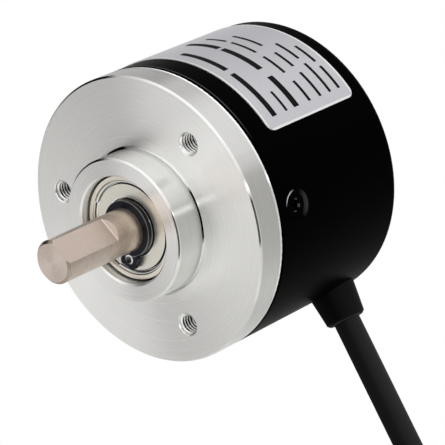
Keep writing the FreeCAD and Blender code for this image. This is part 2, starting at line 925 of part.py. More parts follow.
def on_coil(shape):
    """Copy of a shape made about Y, moved to the coil and turned to lie about its axis."""
    return pointed(shape, V(coil_x, coil_y, coil_z), V(1, 0, 0))


def coil_arc(radius, x, start, sweep, section_r):
    """Round bar bent along the coil's turns."""
    middle = polar(start, radius, x)
    section = Part.makeCircle(section_r, middle, polar(start + QUARTER, 1, 0))
    return Part.Face(Part.Wire(section)).revolve(ORIGIN, -ALONG_SHAFT, sweep)


def make_cable_coil():
    """Outer shape of the put-away turns, with the last turn's slot past the cable's end."""
    band = ring(coil_inner_r, coil_outer_r, -coil_half, coil_half)
    corners = [edge for end in (-coil_half, coil_half) for radius in (coil_inner_r, coil_outer_r)
               for edge in circle_edges(band, radius, end)]
    band = band.makeFillet(coil_round, corners)
    floor = coil_half - coil_pitch
    slot_r = inner_turn_r + cable_r
    section = [
        polar(cable_end_angle, coil_inner_r - CUT_OVER, floor),
        polar(cable_end_angle, slot_r, floor),
        polar(cable_end_angle, slot_r, coil_half + CUT_OVER),
        polar(cable_end_angle, coil_inner_r - CUT_OVER, coil_half + CUT_OVER),
    ]
    slot = Part.Face(Part.makePolygon(section + section[:1])).revolve(ORIGIN, -ALONG_SHAFT, end_slot_sweep)
    return on_coil(band.cut(slot))


def make_cable_end_leads():
    """Stripped leads past the end of the jacket, in the last turn's slot."""
    middle_x = coil_half - cable_r
    spread = end_lead_circle_d / 2
    leads = []
    for angle in around(lead_count, 0):
        turn = math.radians(angle)
        radius = inner_turn_r + spread * math.cos(turn)
        x = middle_x + spread * math.sin(turn)
        leads.append(coil_arc(radius, x, cable_end_angle, end_lead_sweep, end_lead_d / 2))
    return on_coil(group(leads))


def make_coil_tie():
    """Strap round the coil's turns, over its top."""
    outer_half = coil_half + tie_sheet
    band = ring(coil_inner_r - tie_sheet, coil_outer_r + tie_sheet, -outer_half, outer_half)
    hollow = ring(coil_inner_r, coil_outer_r, -coil_half, coil_half)
    size = 2 * coil_outer_r
    slab = Part.makeBox(tie_width, 2 * size, size, V(-tie_width / 2, -size, 0))
    return on_coil(band.cut(hollow).common(slab))


def pieces():
    """Every node of the encoder by name."""
    parts = {
        "base_flange": make_base_flange(),
        "cover": make_cover(),
        "cover_screws": make_cover_screws(),
        "cover_seal": make_cover_seal(),
        "nameplate": make_nameplate(),
        "cable_gland": make_cable_gland(),
        "cable_ferrule": make_cable_ferrule(),
        "preload_spring": make_preload_spring(),
        "shaft": make_shaft(),
        "snap_ring": make_snap_ring(),
        "disc_hub": make_disc_hub(),
        "hub_set_screws": make_hub_set_screws(),
        "code_disc": make_code_disc(),
        "led_holder": make_led_holder(),
        "led_emitter": make_led_emitter(),
        "led_leads": make_led_leads(),
        "index_mask": make_index_mask(),
        "photo_sensor": make_photo_sensor(),
        "circuit_board": make_circuit_board(),
        "board_standoffs": make_board_standoffs(),
        "board_screws": make_board_screws(),
        "output_driver": make_output_driver(),
        "board_capacitors": make_board_capacitors(),
        "wire_header": make_wire_header(),
        "lead_wires": make_lead_wires(),
        "cable": make_cable(),
        "cable_coil": make_cable_coil(),
        "cable_end_leads": make_cable_end_leads(),
        "coil_tie": make_coil_tie(),
    }
    for name, start in (("front", front_bearing_y), ("rear", rear_bearing_y)):
        parts[name + "_outer_ring"] = make_outer_ring(start)
        parts[name + "_inner_ring"] = make_inner_ring(start)
        parts[name + "_shields"] = both_ends(make_shield, start)
        parts[name + "_shield_wires"] = both_ends(make_shield_wire, start)
        parts[name + "_balls"] = group(make_balls(start))
        parts[name + "_cage"] = make_cage(start)
    return parts


def main():
    """Write one file for each node."""
    os.makedirs("parts", exist_ok=True)
    for name, shape in pieces().items():
        shape.exportStep("parts/" + name + ".step")


main()
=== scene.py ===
"""Studio picture of a small shaft encoder: camera, light, cable, threads, printed plate and every finish."""

import json
import logging
import math
from dataclasses import dataclass
from enum import Enum
from typing import Any

import bmesh
import bpy
from mathutils import Matrix, Vector

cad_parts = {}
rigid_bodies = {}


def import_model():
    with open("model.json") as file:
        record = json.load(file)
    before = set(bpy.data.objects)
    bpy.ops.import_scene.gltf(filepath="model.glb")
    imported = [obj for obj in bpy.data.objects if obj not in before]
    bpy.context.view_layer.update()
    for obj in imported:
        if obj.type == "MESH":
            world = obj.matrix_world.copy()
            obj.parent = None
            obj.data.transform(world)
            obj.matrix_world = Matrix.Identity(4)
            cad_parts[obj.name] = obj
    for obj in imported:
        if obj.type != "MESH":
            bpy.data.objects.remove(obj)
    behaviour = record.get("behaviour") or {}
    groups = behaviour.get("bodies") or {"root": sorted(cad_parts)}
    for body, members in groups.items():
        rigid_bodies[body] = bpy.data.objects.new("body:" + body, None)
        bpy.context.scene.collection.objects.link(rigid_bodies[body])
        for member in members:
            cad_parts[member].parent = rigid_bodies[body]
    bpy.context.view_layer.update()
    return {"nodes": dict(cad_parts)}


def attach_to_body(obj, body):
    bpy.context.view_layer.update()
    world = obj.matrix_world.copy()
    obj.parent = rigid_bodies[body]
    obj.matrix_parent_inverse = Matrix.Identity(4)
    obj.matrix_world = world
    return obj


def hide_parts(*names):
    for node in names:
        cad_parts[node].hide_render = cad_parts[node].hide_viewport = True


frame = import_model()

MM = 0.001
log = logging.getLogger("encoder")

# a node tree, and what feeds one of its inputs
Tree = bpy.types.NodeTree
Feed = bpy.types.Node | bpy.types.NodeSocket

# places that finishes share with pieces, in mm and in degrees round the shaft from straight down towards +X
HOLE_COUNT, HOLE_ANGLE, HOLE_CIRCLE = 3, 109.0, 15.0
SCREW_COUNT, SCREW_ANGLE, SCREW_Y = 3, 63.7, 8.2
PLATE_START, PLATE_END, PLATE_RADIUS, PLATE_FRONT, PLATE_BACK = 93.0, 176.0, 20.12, 8.4, 26.3


class Body(Enum):
    """Bodies that the pieces ride on."""

    HOUSING = "housing"


class Slot(Enum):
    """Material slots of the record, one given for each new piece."""

    ALUMINIUM = "turned_aluminium"
    SCREW = "black_steel"
    PLATE = "silver_plate"
    JACKET = "cable_jacket"
    LEADS = "lead_insulation"


class Socket(Enum):
    """Kinds of input that the node trees take."""

    GEOMETRY = "NodeSocketGeometry"
    MATERIAL = "NodeSocketMaterial"
    NUMBER = "NodeSocketFloat"
    COUNT = "NodeSocketInt"


class Axis(Enum):
    """Axes that a distance is measured from, with a one for each direction that counts."""

    SHAFT = (1, 0, 1)
    SCREW = (1, 1, 0)


def linear(code: str) -> tuple[float, float, float, float]:
    """Turn an sRGB hex colour into linear light.

    Args:
        code: Colour as "#rrggbb".

    Returns:
        Linear red, green and blue, and an alpha of one.
    """
    shares = [int(code[at:at + 2], 16) / 255 for at in (1, 3, 5)]
    red, green, blue = (s / 12.92 if s <= 0.04045 else ((s + 0.055) / 1.055) ** 2.4 for s in shares)
    return red, green, blue, 1.0


def add_node(tree: Tree, kind: str, inputs: dict[Any, Any] | None = None, **settings: Any) -> bpy.types.Node:
    """Add one node to a tree.

    Args:
        tree: Tree that gets the node.
        kind: Node type.
        inputs: Value for each input, or what feeds it: a socket, or a node by its first live output.
        **settings: Properties of the node itself.

    Returns:
        The new node.
    """
    node = tree.nodes.new(kind)
    for name, value in settings.items():
        setattr(node, name, value)
    for name, value in (inputs or {}).items():
        if isinstance(value, bpy.types.Node):
            value = next(output for output in value.outputs if output.enabled)
        if isinstance(value, bpy.types.NodeSocket):
            tree.links.new(value, node.inputs[name])
        else:
            node.inputs[name].default_value = value
    return node


def new_piece(name: str, data: bpy.types.ID) -> bpy.types.Object:
    """Put a mesh, curve, lamp or camera into the scene.

    Args:
        name: Name of the piece.
        data: Its data.

    Returns:
        The new object, at the origin.
    """
    piece = bpy.data.objects.new(name, data)
    bpy.context.scene.collection.objects.link(piece)
    return piece


def as_mesh(piece: bpy.types.Object) -> bpy.types.Mesh:
    """Read a piece as a plain mesh.

    Args:
        piece: Object with a curve or with modifiers.

    Returns:
        A new mesh with its modifiers applied.
    """
    graph = bpy.context.evaluated_depsgraph_get()
    shown = piece.evaluated_get(graph)
    return bpy.data.meshes.new_from_object(shown, preserve_all_data_layers=True, depsgraph=graph)


def settle(piece: bpy.types.Object) -> None:
    """Turn a piece with node trees into a plain mesh.

    Args:
        piece: The piece.
    """
    mesh = as_mesh(piece)
    piece.modifiers.clear()
    piece.data = mesh


def attach(piece: bpy.types.Object, slot: Slot, *nodes: str) -> None:
    """Let a piece ride with the housing and stand for CAD nodes, which it hides.

    Args:
        piece: The piece.
        slot: Its material slot; not used.
        nodes: CAD nodes that it replaces.
    """
    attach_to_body(piece, Body.HOUSING.value)
    if nodes:
        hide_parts(*nodes)


def directions(azimuth: float, elevation: float) -> tuple[Vector, Vector, Vector]:
    """Find the directions towards a place, to its right and to its top.

    Args:
        azimuth: Degrees from -Y towards +X.
        elevation: Degrees above the floor's plane.

    Returns:
        Three unit vectors.
    """
    turn, rise = math.radians(azimuth), math.radians(elevation)
    towards = Vector((math.sin(turn) * math.cos(rise), -math.cos(turn) * math.cos(rise), math.sin(rise)))
    right = Vector((math.cos(turn), math.sin(turn), 0))
    return towards, right, towards.cross(right)


def distance(tree: Tree, place: Feed, centre: tuple[float, float, float] = (0, 0, 0),
             axis: Axis = Axis.SHAFT) -> Feed:
    """Measure how far a surface is from an axis.

    Args:
        tree: The material's tree.
        place: Coordinates on the surface.
        centre: A point on the axis in mm.
        axis: The axis.

    Returns:
        The distance in metres.
    """
    middle = tuple(value * MM for value in centre)
    offset = add_node(tree, "ShaderNodeVectorMath", {0: place, 1: middle}, operation="SUBTRACT")
    counted = add_node(tree, "ShaderNodeVectorMath", {0: offset, 1: axis.value}, operation="MULTIPLY")
    return add_node(tree, "ShaderNodeVectorMath", {0: counted}, operation="LENGTH")


def folded(tree: Tree, place: Feed, first_angle: float, count: int) -> Feed:
    """Turn a surface round the shaft's axis so that each of a ring of features lies on the first.

    Args:
        tree: The material's tree.
        place: Object coordinates.
        first_angle: Degrees from straight down to the first feature, towards +X.
        count: Number of features.

    Returns:
        Place across the feature, along the shaft and out from its axis, in metres.
    """
    split = add_node(tree, "ShaderNodeSeparateXYZ", {"Vector": place}).outputs
    down = add_node(tree, "ShaderNodeMath", {0: split["Z"], 1: -1.0}, operation="MULTIPLY")
    angle = add_node(tree, "ShaderNodeMath", {0: split["X"], 1: down}, operation="ARCTAN2")
    angle = add_node(tree, "ShaderNodeMath", {0: angle, 1: math.radians(first_angle)}, operation="SUBTRACT")
    half = math.pi / count
    angle = add_node(tree, "ShaderNodeMath", {0: angle, 1: half, 2: -half}, operation="WRAP")
    radius = distance(tree, place)
    sides = []
    for operation in ("SINE", "COSINE"):
        share = add_node(tree, "ShaderNodeMath", {0: angle}, operation=operation)
        sides.append(add_node(tree, "ShaderNodeMath", {0: share, 1: radius}, operation="MULTIPLY"))
    return add_node(tree, "ShaderNodeCombineXYZ", {"X": sides[0], "Y": split["Y"], "Z": sides[1]})


def tilted(tree: Tree, place: Feed) -> Feed:
    """Give a normal halfway between outwards from the shaft's axis and towards its end, as a broken edge has.

    Args:
        tree: The material's tree.
        place: Object coordinates.

    Returns:
        The normal.
    """
    flat = add_node(tree, "ShaderNodeVectorMath", {0: place, 1: Axis.SHAFT.value}, operation="MULTIPLY")
    outward = add_node(tree, "ShaderNodeVectorMath", {0: flat}, operation="NORMALIZE")
    halfway = add_node(tree, "ShaderNodeVectorMath", {0: outward, 1: (0, -1, 0)}, operation="ADD")
    return add_node(tree, "ShaderNodeVectorMath", {0: halfway}, operation="NORMALIZE")


@dataclass(frozen=True)
class Band:
    """A stretch between two lengths in mm, with ends that fade over a short way."""

    low: float
    high: float
    fade: float = 0.01
    eased: bool = False

    def mask(self, tree: Tree, length: Feed) -> Feed:
        """Mark where a length in metres lies in the stretch.

        Args:
            tree: The material's tree.
            length: The length.

        Returns:
            One inside, zero outside.
        """
        middle, half = (self.low + self.high) / 2, (self.high - self.low) / 2
        offset = add_node(tree, "ShaderNodeMath", {0: length, 1: middle * MM}, operation="SUBTRACT")
        away = add_node(tree, "ShaderNodeMath", {0: offset}, operation="ABSOLUTE")
        return add_node(tree, "ShaderNodeMapRange", {
            "Value": away, "From Min": (half + self.fade) * MM, "From Max": half * MM,
        }, interpolation_type="SMOOTHSTEP" if self.eased else "LINEAR")


@dataclass(frozen=True)
class Zone:
    """A part of a surface, where all of the bands that it has hold. Sizes in mm, angles in degrees.

    A zone with an angle is read across, along and out from the line at that angle round the shaft, and repeats
    in as many even steps as its count says. One without is read by X, Y and Z. The radius is measured from the
    axis through the centre, and the reach along its own way.
    """

    angle: float | None = None
    count: int = 1
    across: Band | None = None
    along: Band | None = None
    out: Band | None = None
    radius: Band | None = None
    centre: tuple[float, float, float] = (0, 0, 0)
    axis: Axis = Axis.SHAFT
    reach: Band | None = None
    way: tuple[float, float, float] = (0, 0, 0)

    def mask(self, tree: Tree, place: Feed) -> Feed:
        """Mark the zone.

        Args:
            tree: The material's tree.
            place: Object coordinates.

        Returns:
            One in the zone, zero outside.
        """
        spot = place if self.angle is None else folded(tree, place, self.angle, self.count)
        split = add_node(tree, "ShaderNodeSeparateXYZ", {"Vector": spot}).outputs
        lengths = [(self.across, split["X"]), (self.along, split["Y"]), (self.out, split["Z"])]
        if self.radius:
            lengths.append((self.radius, distance(tree, spot, self.centre, self.axis)))
        if self.reach:
            reach = add_node(tree, "ShaderNodeVectorMath", {0: spot, 1: self.way}, operation="DOT_PRODUCT")
            lengths.append((self.reach, reach))
        share = 1.0
        for band, length in lengths:
            if band:
                here = band.mask(tree, length)
                share = add_node(tree, "ShaderNodeMath", {0: share, 1: here}, operation="MULTIPLY")
        return share


@dataclass(frozen=True)
class Mark:
    """A zone with a look of its own: a colour, the normal of a broken edge, or both."""

    zone: Zone
    code: str | None = None
    broken: bool = False

    def lay(self, tree: Tree, place: Feed, inputs: dict[str, Any]) -> None:
        """Lay the mark over a surface.

        Args:
            tree: The material's tree.
            place: Object coordinates.
            inputs: The shader's inputs, of which the mark changes one or two.
        """
        share = self.zone.mask(tree, place)
        if self.code:
            inputs["Base Color"] = add_node(tree, "ShaderNodeMix", {
                0: share, 6: inputs["Base Color"], 7: linear(self.code),
            }, data_type="RGBA")
        if self.broken:
            inputs["Normal"] = add_node(tree, "ShaderNodeMix", {
                0: share, 4: inputs["Normal"], 5: tilted(tree, place),
            }, data_type="VECTOR")


@dataclass(frozen=True)
class Finish:
    """What each finish has. Lengths in mm.

    Two shades mix over the surface. The roughness rises and falls by its spread where the grain rises and falls
    by its swing, and the grain stands as high as its depth. Marks lie over all of it.
    """

    name: str
    colour: str
    shade: str
    roughness: float
    marks: tuple[Mark, ...] = ()
    depth: float = 0.002
    spread: float = 0.05
    swing: float = 0.2

    def material(self) -> bpy.types.Material:
        """Build the material, or find it where another piece has it already.

        Returns:
            The material.
        """
        known = bpy.data.materials.get(self.name)
        if known:
            return known
        made = bpy.data.materials.new(self.name)
        made.use_nodes = True
        tree = made.node_tree
        tree.nodes.clear()
        place = add_node(tree, "ShaderNodeTexCoord").outputs["Object"]
        inputs = self.surface(tree, place)
        for mark in self.marks:
            mark.lay(tree, place, inputs)
        shader = add_node(tree, "ShaderNodeBsdfPrincipled", inputs)
        add_node(tree, "ShaderNodeOutputMaterial", {"Surface": shader})
        return made

    def surface(self, tree: Tree, place: Feed) -> dict[str, Any]:
        """Give the shader's inputs.

        Args:
            tree: The material's tree.
            place: Object coordinates.

        Returns:
            Value or feed for each input.
        """
        raise NotImplementedError

    def textured(self, tree: Tree, tone: Feed, grain: Feed) -> dict[str, Any]:
        """Mix the two shades by one pattern, and vary gloss and height by another.

        Args:
            tree: The material's tree.
            tone: Pattern of the shades.
            grain: Pattern of the gloss and the height, which swings round one half.

        Returns:
            Value or feed for colour, roughness and normal.
        """
        rough = self.roughness
        if self.spread:
            rough = add_node(tree, "ShaderNodeMapRange", {
                "Value": grain, "From Min": 0.5 - self.swing, "From Max": 0.5 + self.swing,
                "To Min": self.roughness - self.spread, "To Max": self.roughness + self.spread,
            })
        mixed = add_node(tree, "ShaderNodeMix", {
            0: tone, 6: linear(self.shade), 7: linear(self.colour),
        }, data_type="RGBA")
        relief = add_node(tree, "ShaderNodeBump", {
            "Strength": 1.0, "Distance": self.depth * MM, "Height": grain,
        })
        return {"Base Color": mixed, "Roughness": rough, "Normal": relief}


@dataclass(frozen=True)
class TurnedMetal(Finish):
    """Metal from the lathe: fine rings round the shaft's axis that stretch each highlight across them.

    The real feed of about 0.08 mm is too fine to show, so the rings are drawn coarser.
    """

    depth: float = 0.0006
    swing: float = 0.25
    ring: float = 0.3
    stretch: float = 0.6

    def surface(self, tree: Tree, place: Feed) -> dict[str, Any]:
        """Give rings that follow the radius on faces and the length on walls.

        Args:
            tree: The material's tree.
            place: Object coordinates.

        Returns:
            Value or feed for each input.
        """
        along = add_node(tree, "ShaderNodeSeparateXYZ", {"Vector": place}).outputs["Y"]
        across = add_node(tree, "ShaderNodeMath", {0: distance(tree, place), 1: along}, operation="ADD")
        rings = add_node(tree, "ShaderNodeTexNoise", {
            "W": across, "Scale": 1 / (self.ring * MM), "Detail": 3.0, "Roughness": 0.7,
        }, noise_dimensions="1D")
        around = add_node(tree, "ShaderNodeVectorMath", {0: (0, 1, 0), 1: place}, operation="CROSS_PRODUCT")
        tangent = add_node(tree, "ShaderNodeVectorTransform", {"Vector": around},
                           vector_type="VECTOR", convert_from="OBJECT", convert_to="WORLD")
        return {
            **self.textured(tree, rings, rings), "Metallic": 1.0,
            "Anisotropic": self.stretch, "Anisotropic Rotation": 0.25, "Tangent": tangent,
        }


@dataclass(frozen=True)
class FormedMetal(Finish):
    """Pressed, drawn, plated or rolled metal: a fine even mottle and no grain direction."""

    depth: float = 0.0008
    spread: float = 0.06
    grain: float = 0.25
    crispness: float = 0.6
    metal: float = 1.0

    def surface(self, tree: Tree, place: Feed) -> dict[str, Any]:
        """Give a mottle of shade, gloss and height.

        Args:
            tree: The material's tree.
            place: Object coordinates.

        Returns:
            Value or feed for each input.
        """
        mottle = add_node(tree, "ShaderNodeTexNoise", {
            "Vector": place, "Scale": 1 / (self.grain * MM), "Detail": 3.0, "Roughness": self.crispness,
        })
        return {**self.textured(tree, mottle, mottle), "Metallic": self.metal}


@dataclass(frozen=True)
class Coating(Finish):
    """Paint, rubber or moulded plastic: a fine skin over a soft change of shade."""

    grain: float = 0.2
    cloud: float = 4.0
    specular: float = 0.5
    clear: float = 0.0

    def surface(self, tree: Tree, place: Feed) -> dict[str, Any]:
        """Give a fine skin, and clouds of shade.

        Args:
            tree: The material's tree.
            place: Object coordinates.

        Returns:
            Value or feed for each input.
        """
        clouds, skin = (add_node(tree, "ShaderNodeTexNoise", {
            "Vector": place, "Scale": 1 / (size * MM), "Detail": detail, "Roughness": crispness,
        }) for size, detail, crispness in ((self.cloud, 4.0, 0.6), (self.grain, 2.0, 0.5)))
        return {
            **self.textured(tree, clouds, skin),
            "Specular IOR Level": self.specular, "Transmission Weight": self.clear,
        }


@dataclass(frozen=True)
class StudioPaper(Finish):
    """Matt paper whose tone falls off from the lit side of the floor to the other, a painted fall-off of light.
    """

    depth: float = 0.01
    spread: float = 0.0
    lit_from: float = -15.0
    dim_from: float = 60.0
    fibre: float = 2.0
    specular: float = 0.2

    def surface(self, tree: Tree, place: Feed) -> dict[str, Any]:
        """Give the painted fall-off of light across the floor, and the paper's fibre.

        Args:
            tree: The material's tree.
            place: Object coordinates.

        Returns:
            Value or feed for each input.
        """
        across = add_node(tree, "ShaderNodeSeparateXYZ", {"Vector": place}).outputs["X"]
        lit = add_node(tree, "ShaderNodeMapRange", {
            "Value": across, "From Min": self.dim_from * MM, "From Max": self.lit_from * MM,
        }, interpolation_type="SMOOTHSTEP")
        fibres = add_node(tree, "ShaderNodeTexNoise", {
            "Vector": place, "Scale": 1 / (self.fibre * MM), "Detail": 3.0,
        })
        return {**self.textured(tree, lit, fibres), "Specular IOR Level": self.specular}


@dataclass(frozen=True)
class Laminate(Finish):
    """Circuit board: green solder mask, with copper tracks that show through as lighter lines."""

    depth: float = 0.02
    track: float = 0.25
    width: float = 2.6
    row: float = 1.3
    softness: float = 0.2

    def surface(self, tree: Tree, place: Feed) -> dict[str, Any]:
        """Give tracks in the board's plane.

        Args:
            tree: The material's tree.
            place: Object coordinates.

        Returns:
            Value or feed for each input.
        """
        split = add_node(tree, "ShaderNodeSeparateXYZ", {"Vector": place}).outputs
        plane = add_node(tree, "ShaderNodeCombineXYZ", {"X": split["X"], "Y": split["Z"]})
        tracks = add_node(tree, "ShaderNodeTexBrick", {
            "Vector": plane, "Color1": linear(self.shade), "Color2": linear(self.shade),
            "Mortar": linear(self.colour), "Scale": 1 / MM, "Mortar Size": self.track / 2,
            "Brick Width": self.width, "Row Height": self.row, "Mortar Smooth": self.softness,
        }).outputs
        relief = add_node(tree, "ShaderNodeBump", {
            "Strength": 1.0, "Distance": self.depth * MM, "Height": tracks["Fac"],
        })
        return {"Base Color": tracks["Color"], "Roughness": self.roughness, "Normal": relief}


# the second colour is near-black painted shade, laid in the thread roots and along edges where shade falls
WHITE, PAINTED_SHADE, MILLED = "#ffffff", "#141312", "#d2c2b8"
NEAR_SIDE = Band(0.0, 100.0)
RIM_FRONT, BOSS_FRONT, BOSS_FOOT = Band(-0.01, 0.3), Band(-4.6, -4.2), Band(0.005, 0.33)

# painted shade and painted dark reflections on stretches of the base's edges: middle angle, half length, fade,
# place along the shaft, radius and colour
PAINTED_SHADE_EDGES = (
    (69.5, 3.1, 1.0, BOSS_FOOT, Band(9.75, 10.06), PAINTED_SHADE),
    (61.7, 2.6, 1.0, BOSS_FRONT, Band(9.74, 9.9), "#5f5f5d"),
    (64.8, 2.7, 1.0, RIM_FRONT, Band(19.74, 19.92), "#5f5f5d"),
    (172.0, 1.6, 0.8, BOSS_FOOT, Band(9.75, 10.35), PAINTED_SHADE),
    (180.0, 2.6, 1.5, BOSS_FRONT, Band(9.74, 10.02), "#4a4a48"),
    (173.0, 4.6, 2.0, RIM_FRONT, Band(19.74, 20.02), "#2a2a29"),
    (195.0, 3.4, 2.5, RIM_FRONT, Band(19.8, 20.02), "#7a7a78"),
)
# broken edges at the boss's groove and along the rim's burr, their white a painted highlight; painted shade in
# the thread roots; and the painted shade of the dark edges
BASE_MARKS = (
    Mark(Zone(along=BOSS_FOOT, radius=Band(9.75, 10.3)), WHITE, broken=True),
    Mark(Zone(along=Band(3.95, 4.42), radius=Band(19.7, 20.1)), WHITE, broken=True),
    Mark(Zone(HOLE_ANGLE, HOLE_COUNT, along=Band(0.9, 20.0, fade=0.5), radius=Band(1.40, 1.56),
              centre=(0, 0, HOLE_CIRCLE)), PAINTED_SHADE),
    *(Mark(Zone(angle, across=Band(-half, half, fade), along=along, out=NEAR_SIDE, radius=radius), code)
      for angle, half, fade, along, radius, code in PAINTED_SHADE_EDGES),
)
# the bar's free end, a little darker, and its tip's chamfer, darker still as painted shade; its milled flat
# with the slope that it ends in, and a lighter strip where they meet as a painted highlight
FLAT_ANGLE, FLAT_FACE = 103.5, Band(2.28, 2.32)
SLOPE_FACE = {"reach": Band(14.18, 14.22), "way": (0, -1.4, 1)}
BAR_MARKS = (
    Mark(Zone(along=Band(-19.0, -10.0, fade=4.0)), "#d3c6bb"),
    Mark(Zone(along=Band(-17.97, -17.6)), "#a3978c"),
    Mark(Zone(FLAT_ANGLE, along=Band(-19.0, -8.5), out=FLAT_FACE), MILLED),
    Mark(Zone(FLAT_ANGLE, along=Band(-8.5, -8.42), **SLOPE_FACE), MILLED),
    Mark(Zone(FLAT_ANGLE, along=Band(-8.42, -7.5), **SLOPE_FACE), "#b6a69a"),
)
# the ring's corner, darkened as painted shade where it meets its seat
RING_CORNER_SHADE = (Mark(Zone(radius=Band(7.22, 8.0)), "#1d1a17"),)
# the shield's sheared eye, the wire's bright seat, and painted shade along both sides of the seat
SHIELD_MARKS = tuple(Mark(Zone(radius=band), code) for band, code in (
    (Band(4.1, 4.27), WHITE), (Band(6.15, 6.48), WHITE),
    (Band(5.98, 6.11), "#3d362e"), (Band(6.52, 6.66), "#3d362e"),
))
# painted highlights on the snap ring's edge and on the lips of its ears' holes
SNAP_ANGLE = -57.0
SNAP_PAINTED_HIGHLIGHTS = (
    Mark(Zone(SNAP_ANGLE, along=Band(-3.82, -3.68), radius=Band(3.84, 3.96), centre=(0, 0, -0.1)), "#77797c"),
    *(Mark(Zone(SNAP_ANGLE, radius=Band(0.42, 0.62, fade=0.05), centre=(side, 0, 3.90)), "#e4e4e4")
      for side in (-1.66, 1.66)),
)
# the cover's screw holes, with painted light on their far walls and a painted highlight on their upper front
# lips; a painted highlight along the upper front edge; the rear face lighter as painted sheen; and the rounded
# front edge
MOUTH, MOUTH_Y, HIGHLIGHT_TURN = 2.2, SCREW_Y - 0.08, math.radians(50.0)
COVER_MARKS = (
    *(Mark(Zone(SCREW_ANGLE, SCREW_COUNT, radius=Band(0.0, MOUTH), centre=(0, MOUTH_Y, 0), axis=Axis.SCREW,
                reach=Band(way[1] * MOUTH_Y + MOUTH, 20.0, fade=part * MOUTH, eased=True), way=way), code)
      for way, part, code in (
          ((0, 1, 0), 0.65, "#353638"),
          ((math.sin(HIGHLIGHT_TURN), -math.cos(HIGHLIGHT_TURN), 0), 0.28, "#c4c4c6"),
      )),
    Mark(Zone(along=Band(4.82, 4.94, fade=0.04), out=Band(5.0, 30.0, fade=4.0)), "#545456"),
    Mark(Zone(along=Band(29.28, 31.0, fade=0.3)), "#141415"),
    Mark(Zone(along=Band(4.3, 4.8)), broken=True),
)
# ends of the screw's recess, lighter as painted glints
SCREW_PAINTED_GLINTS = (
    Mark(Zone(SCREW_ANGLE, SCREW_COUNT, out=Band(0.0, 19.57), radius=Band(0.76, 1.0), centre=(0, SCREW_Y, 0),
              axis=Axis.SCREW), "#66676a"),
)
# the plate's lighter edge, on all four sides
PLATE_EDGE = 0.32
PLATE_SIDE = PLATE_RADIUS * math.sin(math.radians(PLATE_END - PLATE_START) / 2 - PLATE_EDGE / PLATE_RADIUS)
PLATE_MARKS = tuple(Mark(zone, WHITE) for zone in (
    Zone(along=Band(PLATE_FRONT - 1, PLATE_FRONT + PLATE_EDGE)),
    Zone(along=Band(PLATE_BACK - PLATE_EDGE, PLATE_BACK + 1)),
    Zone((PLATE_START + PLATE_END) / 2, across=Band(-PLATE_RADIUS, -PLATE_SIDE)),
    Zone((PLATE_START + PLATE_END) / 2, across=Band(PLATE_SIDE, PLATE_RADIUS)),
))

# 6061 aluminium, faced and turned: pale grey, with sheen that fans out from the centre, and painted shade and
#                                   highlights on some edges
ALUMINIUM = TurnedMetal("aluminium_lathe_turned", "#f4f4f2", "#e4e4e1", 0.31, BASE_MARKS,
                        ring=0.35, stretch=0.97)
# 303 stainless bar, ground: warm and a little duller than the base, with painted shade on its tip's chamfer and
#                            a painted highlight where its flat ends
STAINLESS = TurnedMetal("stainless_ground_bar", "#f3e4d7", "#e2d2c4", 0.30, BAR_MARKS,
                        ring=0.25, stretch=0.7)
# chrome bearing steel, ground: bright and warm, with painted shade on its corner
OUTER_RING = TurnedMetal("bearing_steel_ground_ring", "#efe9de", "#ddd6c9", 0.24, RING_CORNER_SHADE,
                         ring=0.2, stretch=0.5)
# chrome bearing steel: darker than the outer ring
BEARING = TurnedMetal("bearing_steel_ground", "#a29d95", "#8a857d", 0.24, ring=0.2, stretch=0.5)
# free-cutting brass: yellow, with turning rings
BRASS = TurnedMetal("brass_turned", "#d9b66a", "#bd964a", 0.28)
# sheet steel, pressed: flat beige grey
SHIELD = FormedMetal("sheet_steel_pressed", "#eceae0", "#dfdcd1", 0.38, SHIELD_MARKS, grain=0.3)
# drawn spring wire: bright
SPRING = FormedMetal("spring_wire_drawn", "#e6e6e4", "#cfcfcc", 0.2, grain=0.15)
# spring steel with black oxide: blue-black with a soft gloss
OXIDE = FormedMetal("spring_steel_black_oxide", "#2b2e33", "#1b1d21", 0.34, grain=0.2)
# the same on the snap ring, with painted highlights on its edge and hole lips
SNAP = FormedMetal("spring_steel_black_oxide_painted_highlights", "#2b2e33", "#1b1d21", 0.34, SNAP_PAINTED_HIGHLIGHTS, grain=0.2)
# screw steel, black and oiled: black, with painted glints at the ends of its recess
SCREW = Coating("screw_steel_black_oiled", "#030304", "#020203", 0.26, SCREW_PAINTED_GLINTS,
                depth=0.001, grain=0.15, specular=0.01)
# zinc plated steel: cool light grey
ZINC = FormedMetal("steel_zinc_plated", "#c3c8cc", "#aab0b6", 0.3, grain=0.2)
# tinned copper: soft white grey
TIN = FormedMetal("copper_tinned", "#d2d3d2", "#b9bab8", 0.32, grain=0.2)
# etched spring steel sheet: smooth and bright
DISC = FormedMetal("steel_sheet_etched", "#d0d2d3", "#babdbf", 0.22, grain=0.4)
# baked enamel on the cover: satin black with a very fine orange peel, and painted light at its screw holes,
# front edge and rear face
ENAMEL = Coating("enamel_satin_black", "#020202", "#010101", 0.36, COVER_MARKS,
                 depth=0.0006, grain=0.25, specular=0.008)
# nitrile rubber, moulded: dull near-black
RUBBER = Coating("nitrile_rubber_moulded", "#0a0a0a", "#080808", 0.5, grain=0.18, specular=0.02)
# PVC jacket, extruded: dark grey with a dull gloss
JACKET = Coating("pvc_jacket_extruded", "#131313", "#0f0f0f", 0.5, depth=0.003, grain=0.3, specular=0.05)
# nylon, moulded: cream
NYLON = Coating("nylon_moulded", "#ddd8c8", "#cfc8b4", 0.45, grain=0.25)
# nylon tie: black, with a slight gloss
TIE = Coating("nylon_tie_black", "#1b1b1c", "#131314", 0.4, depth=0.003)
# glass-filled plastic of the lamp holder: black and grainy
HOLDER = Coating("glass_filled_nylon_black", "#1a1b1c", "#101112", 0.55, depth=0.004, grain=0.12)
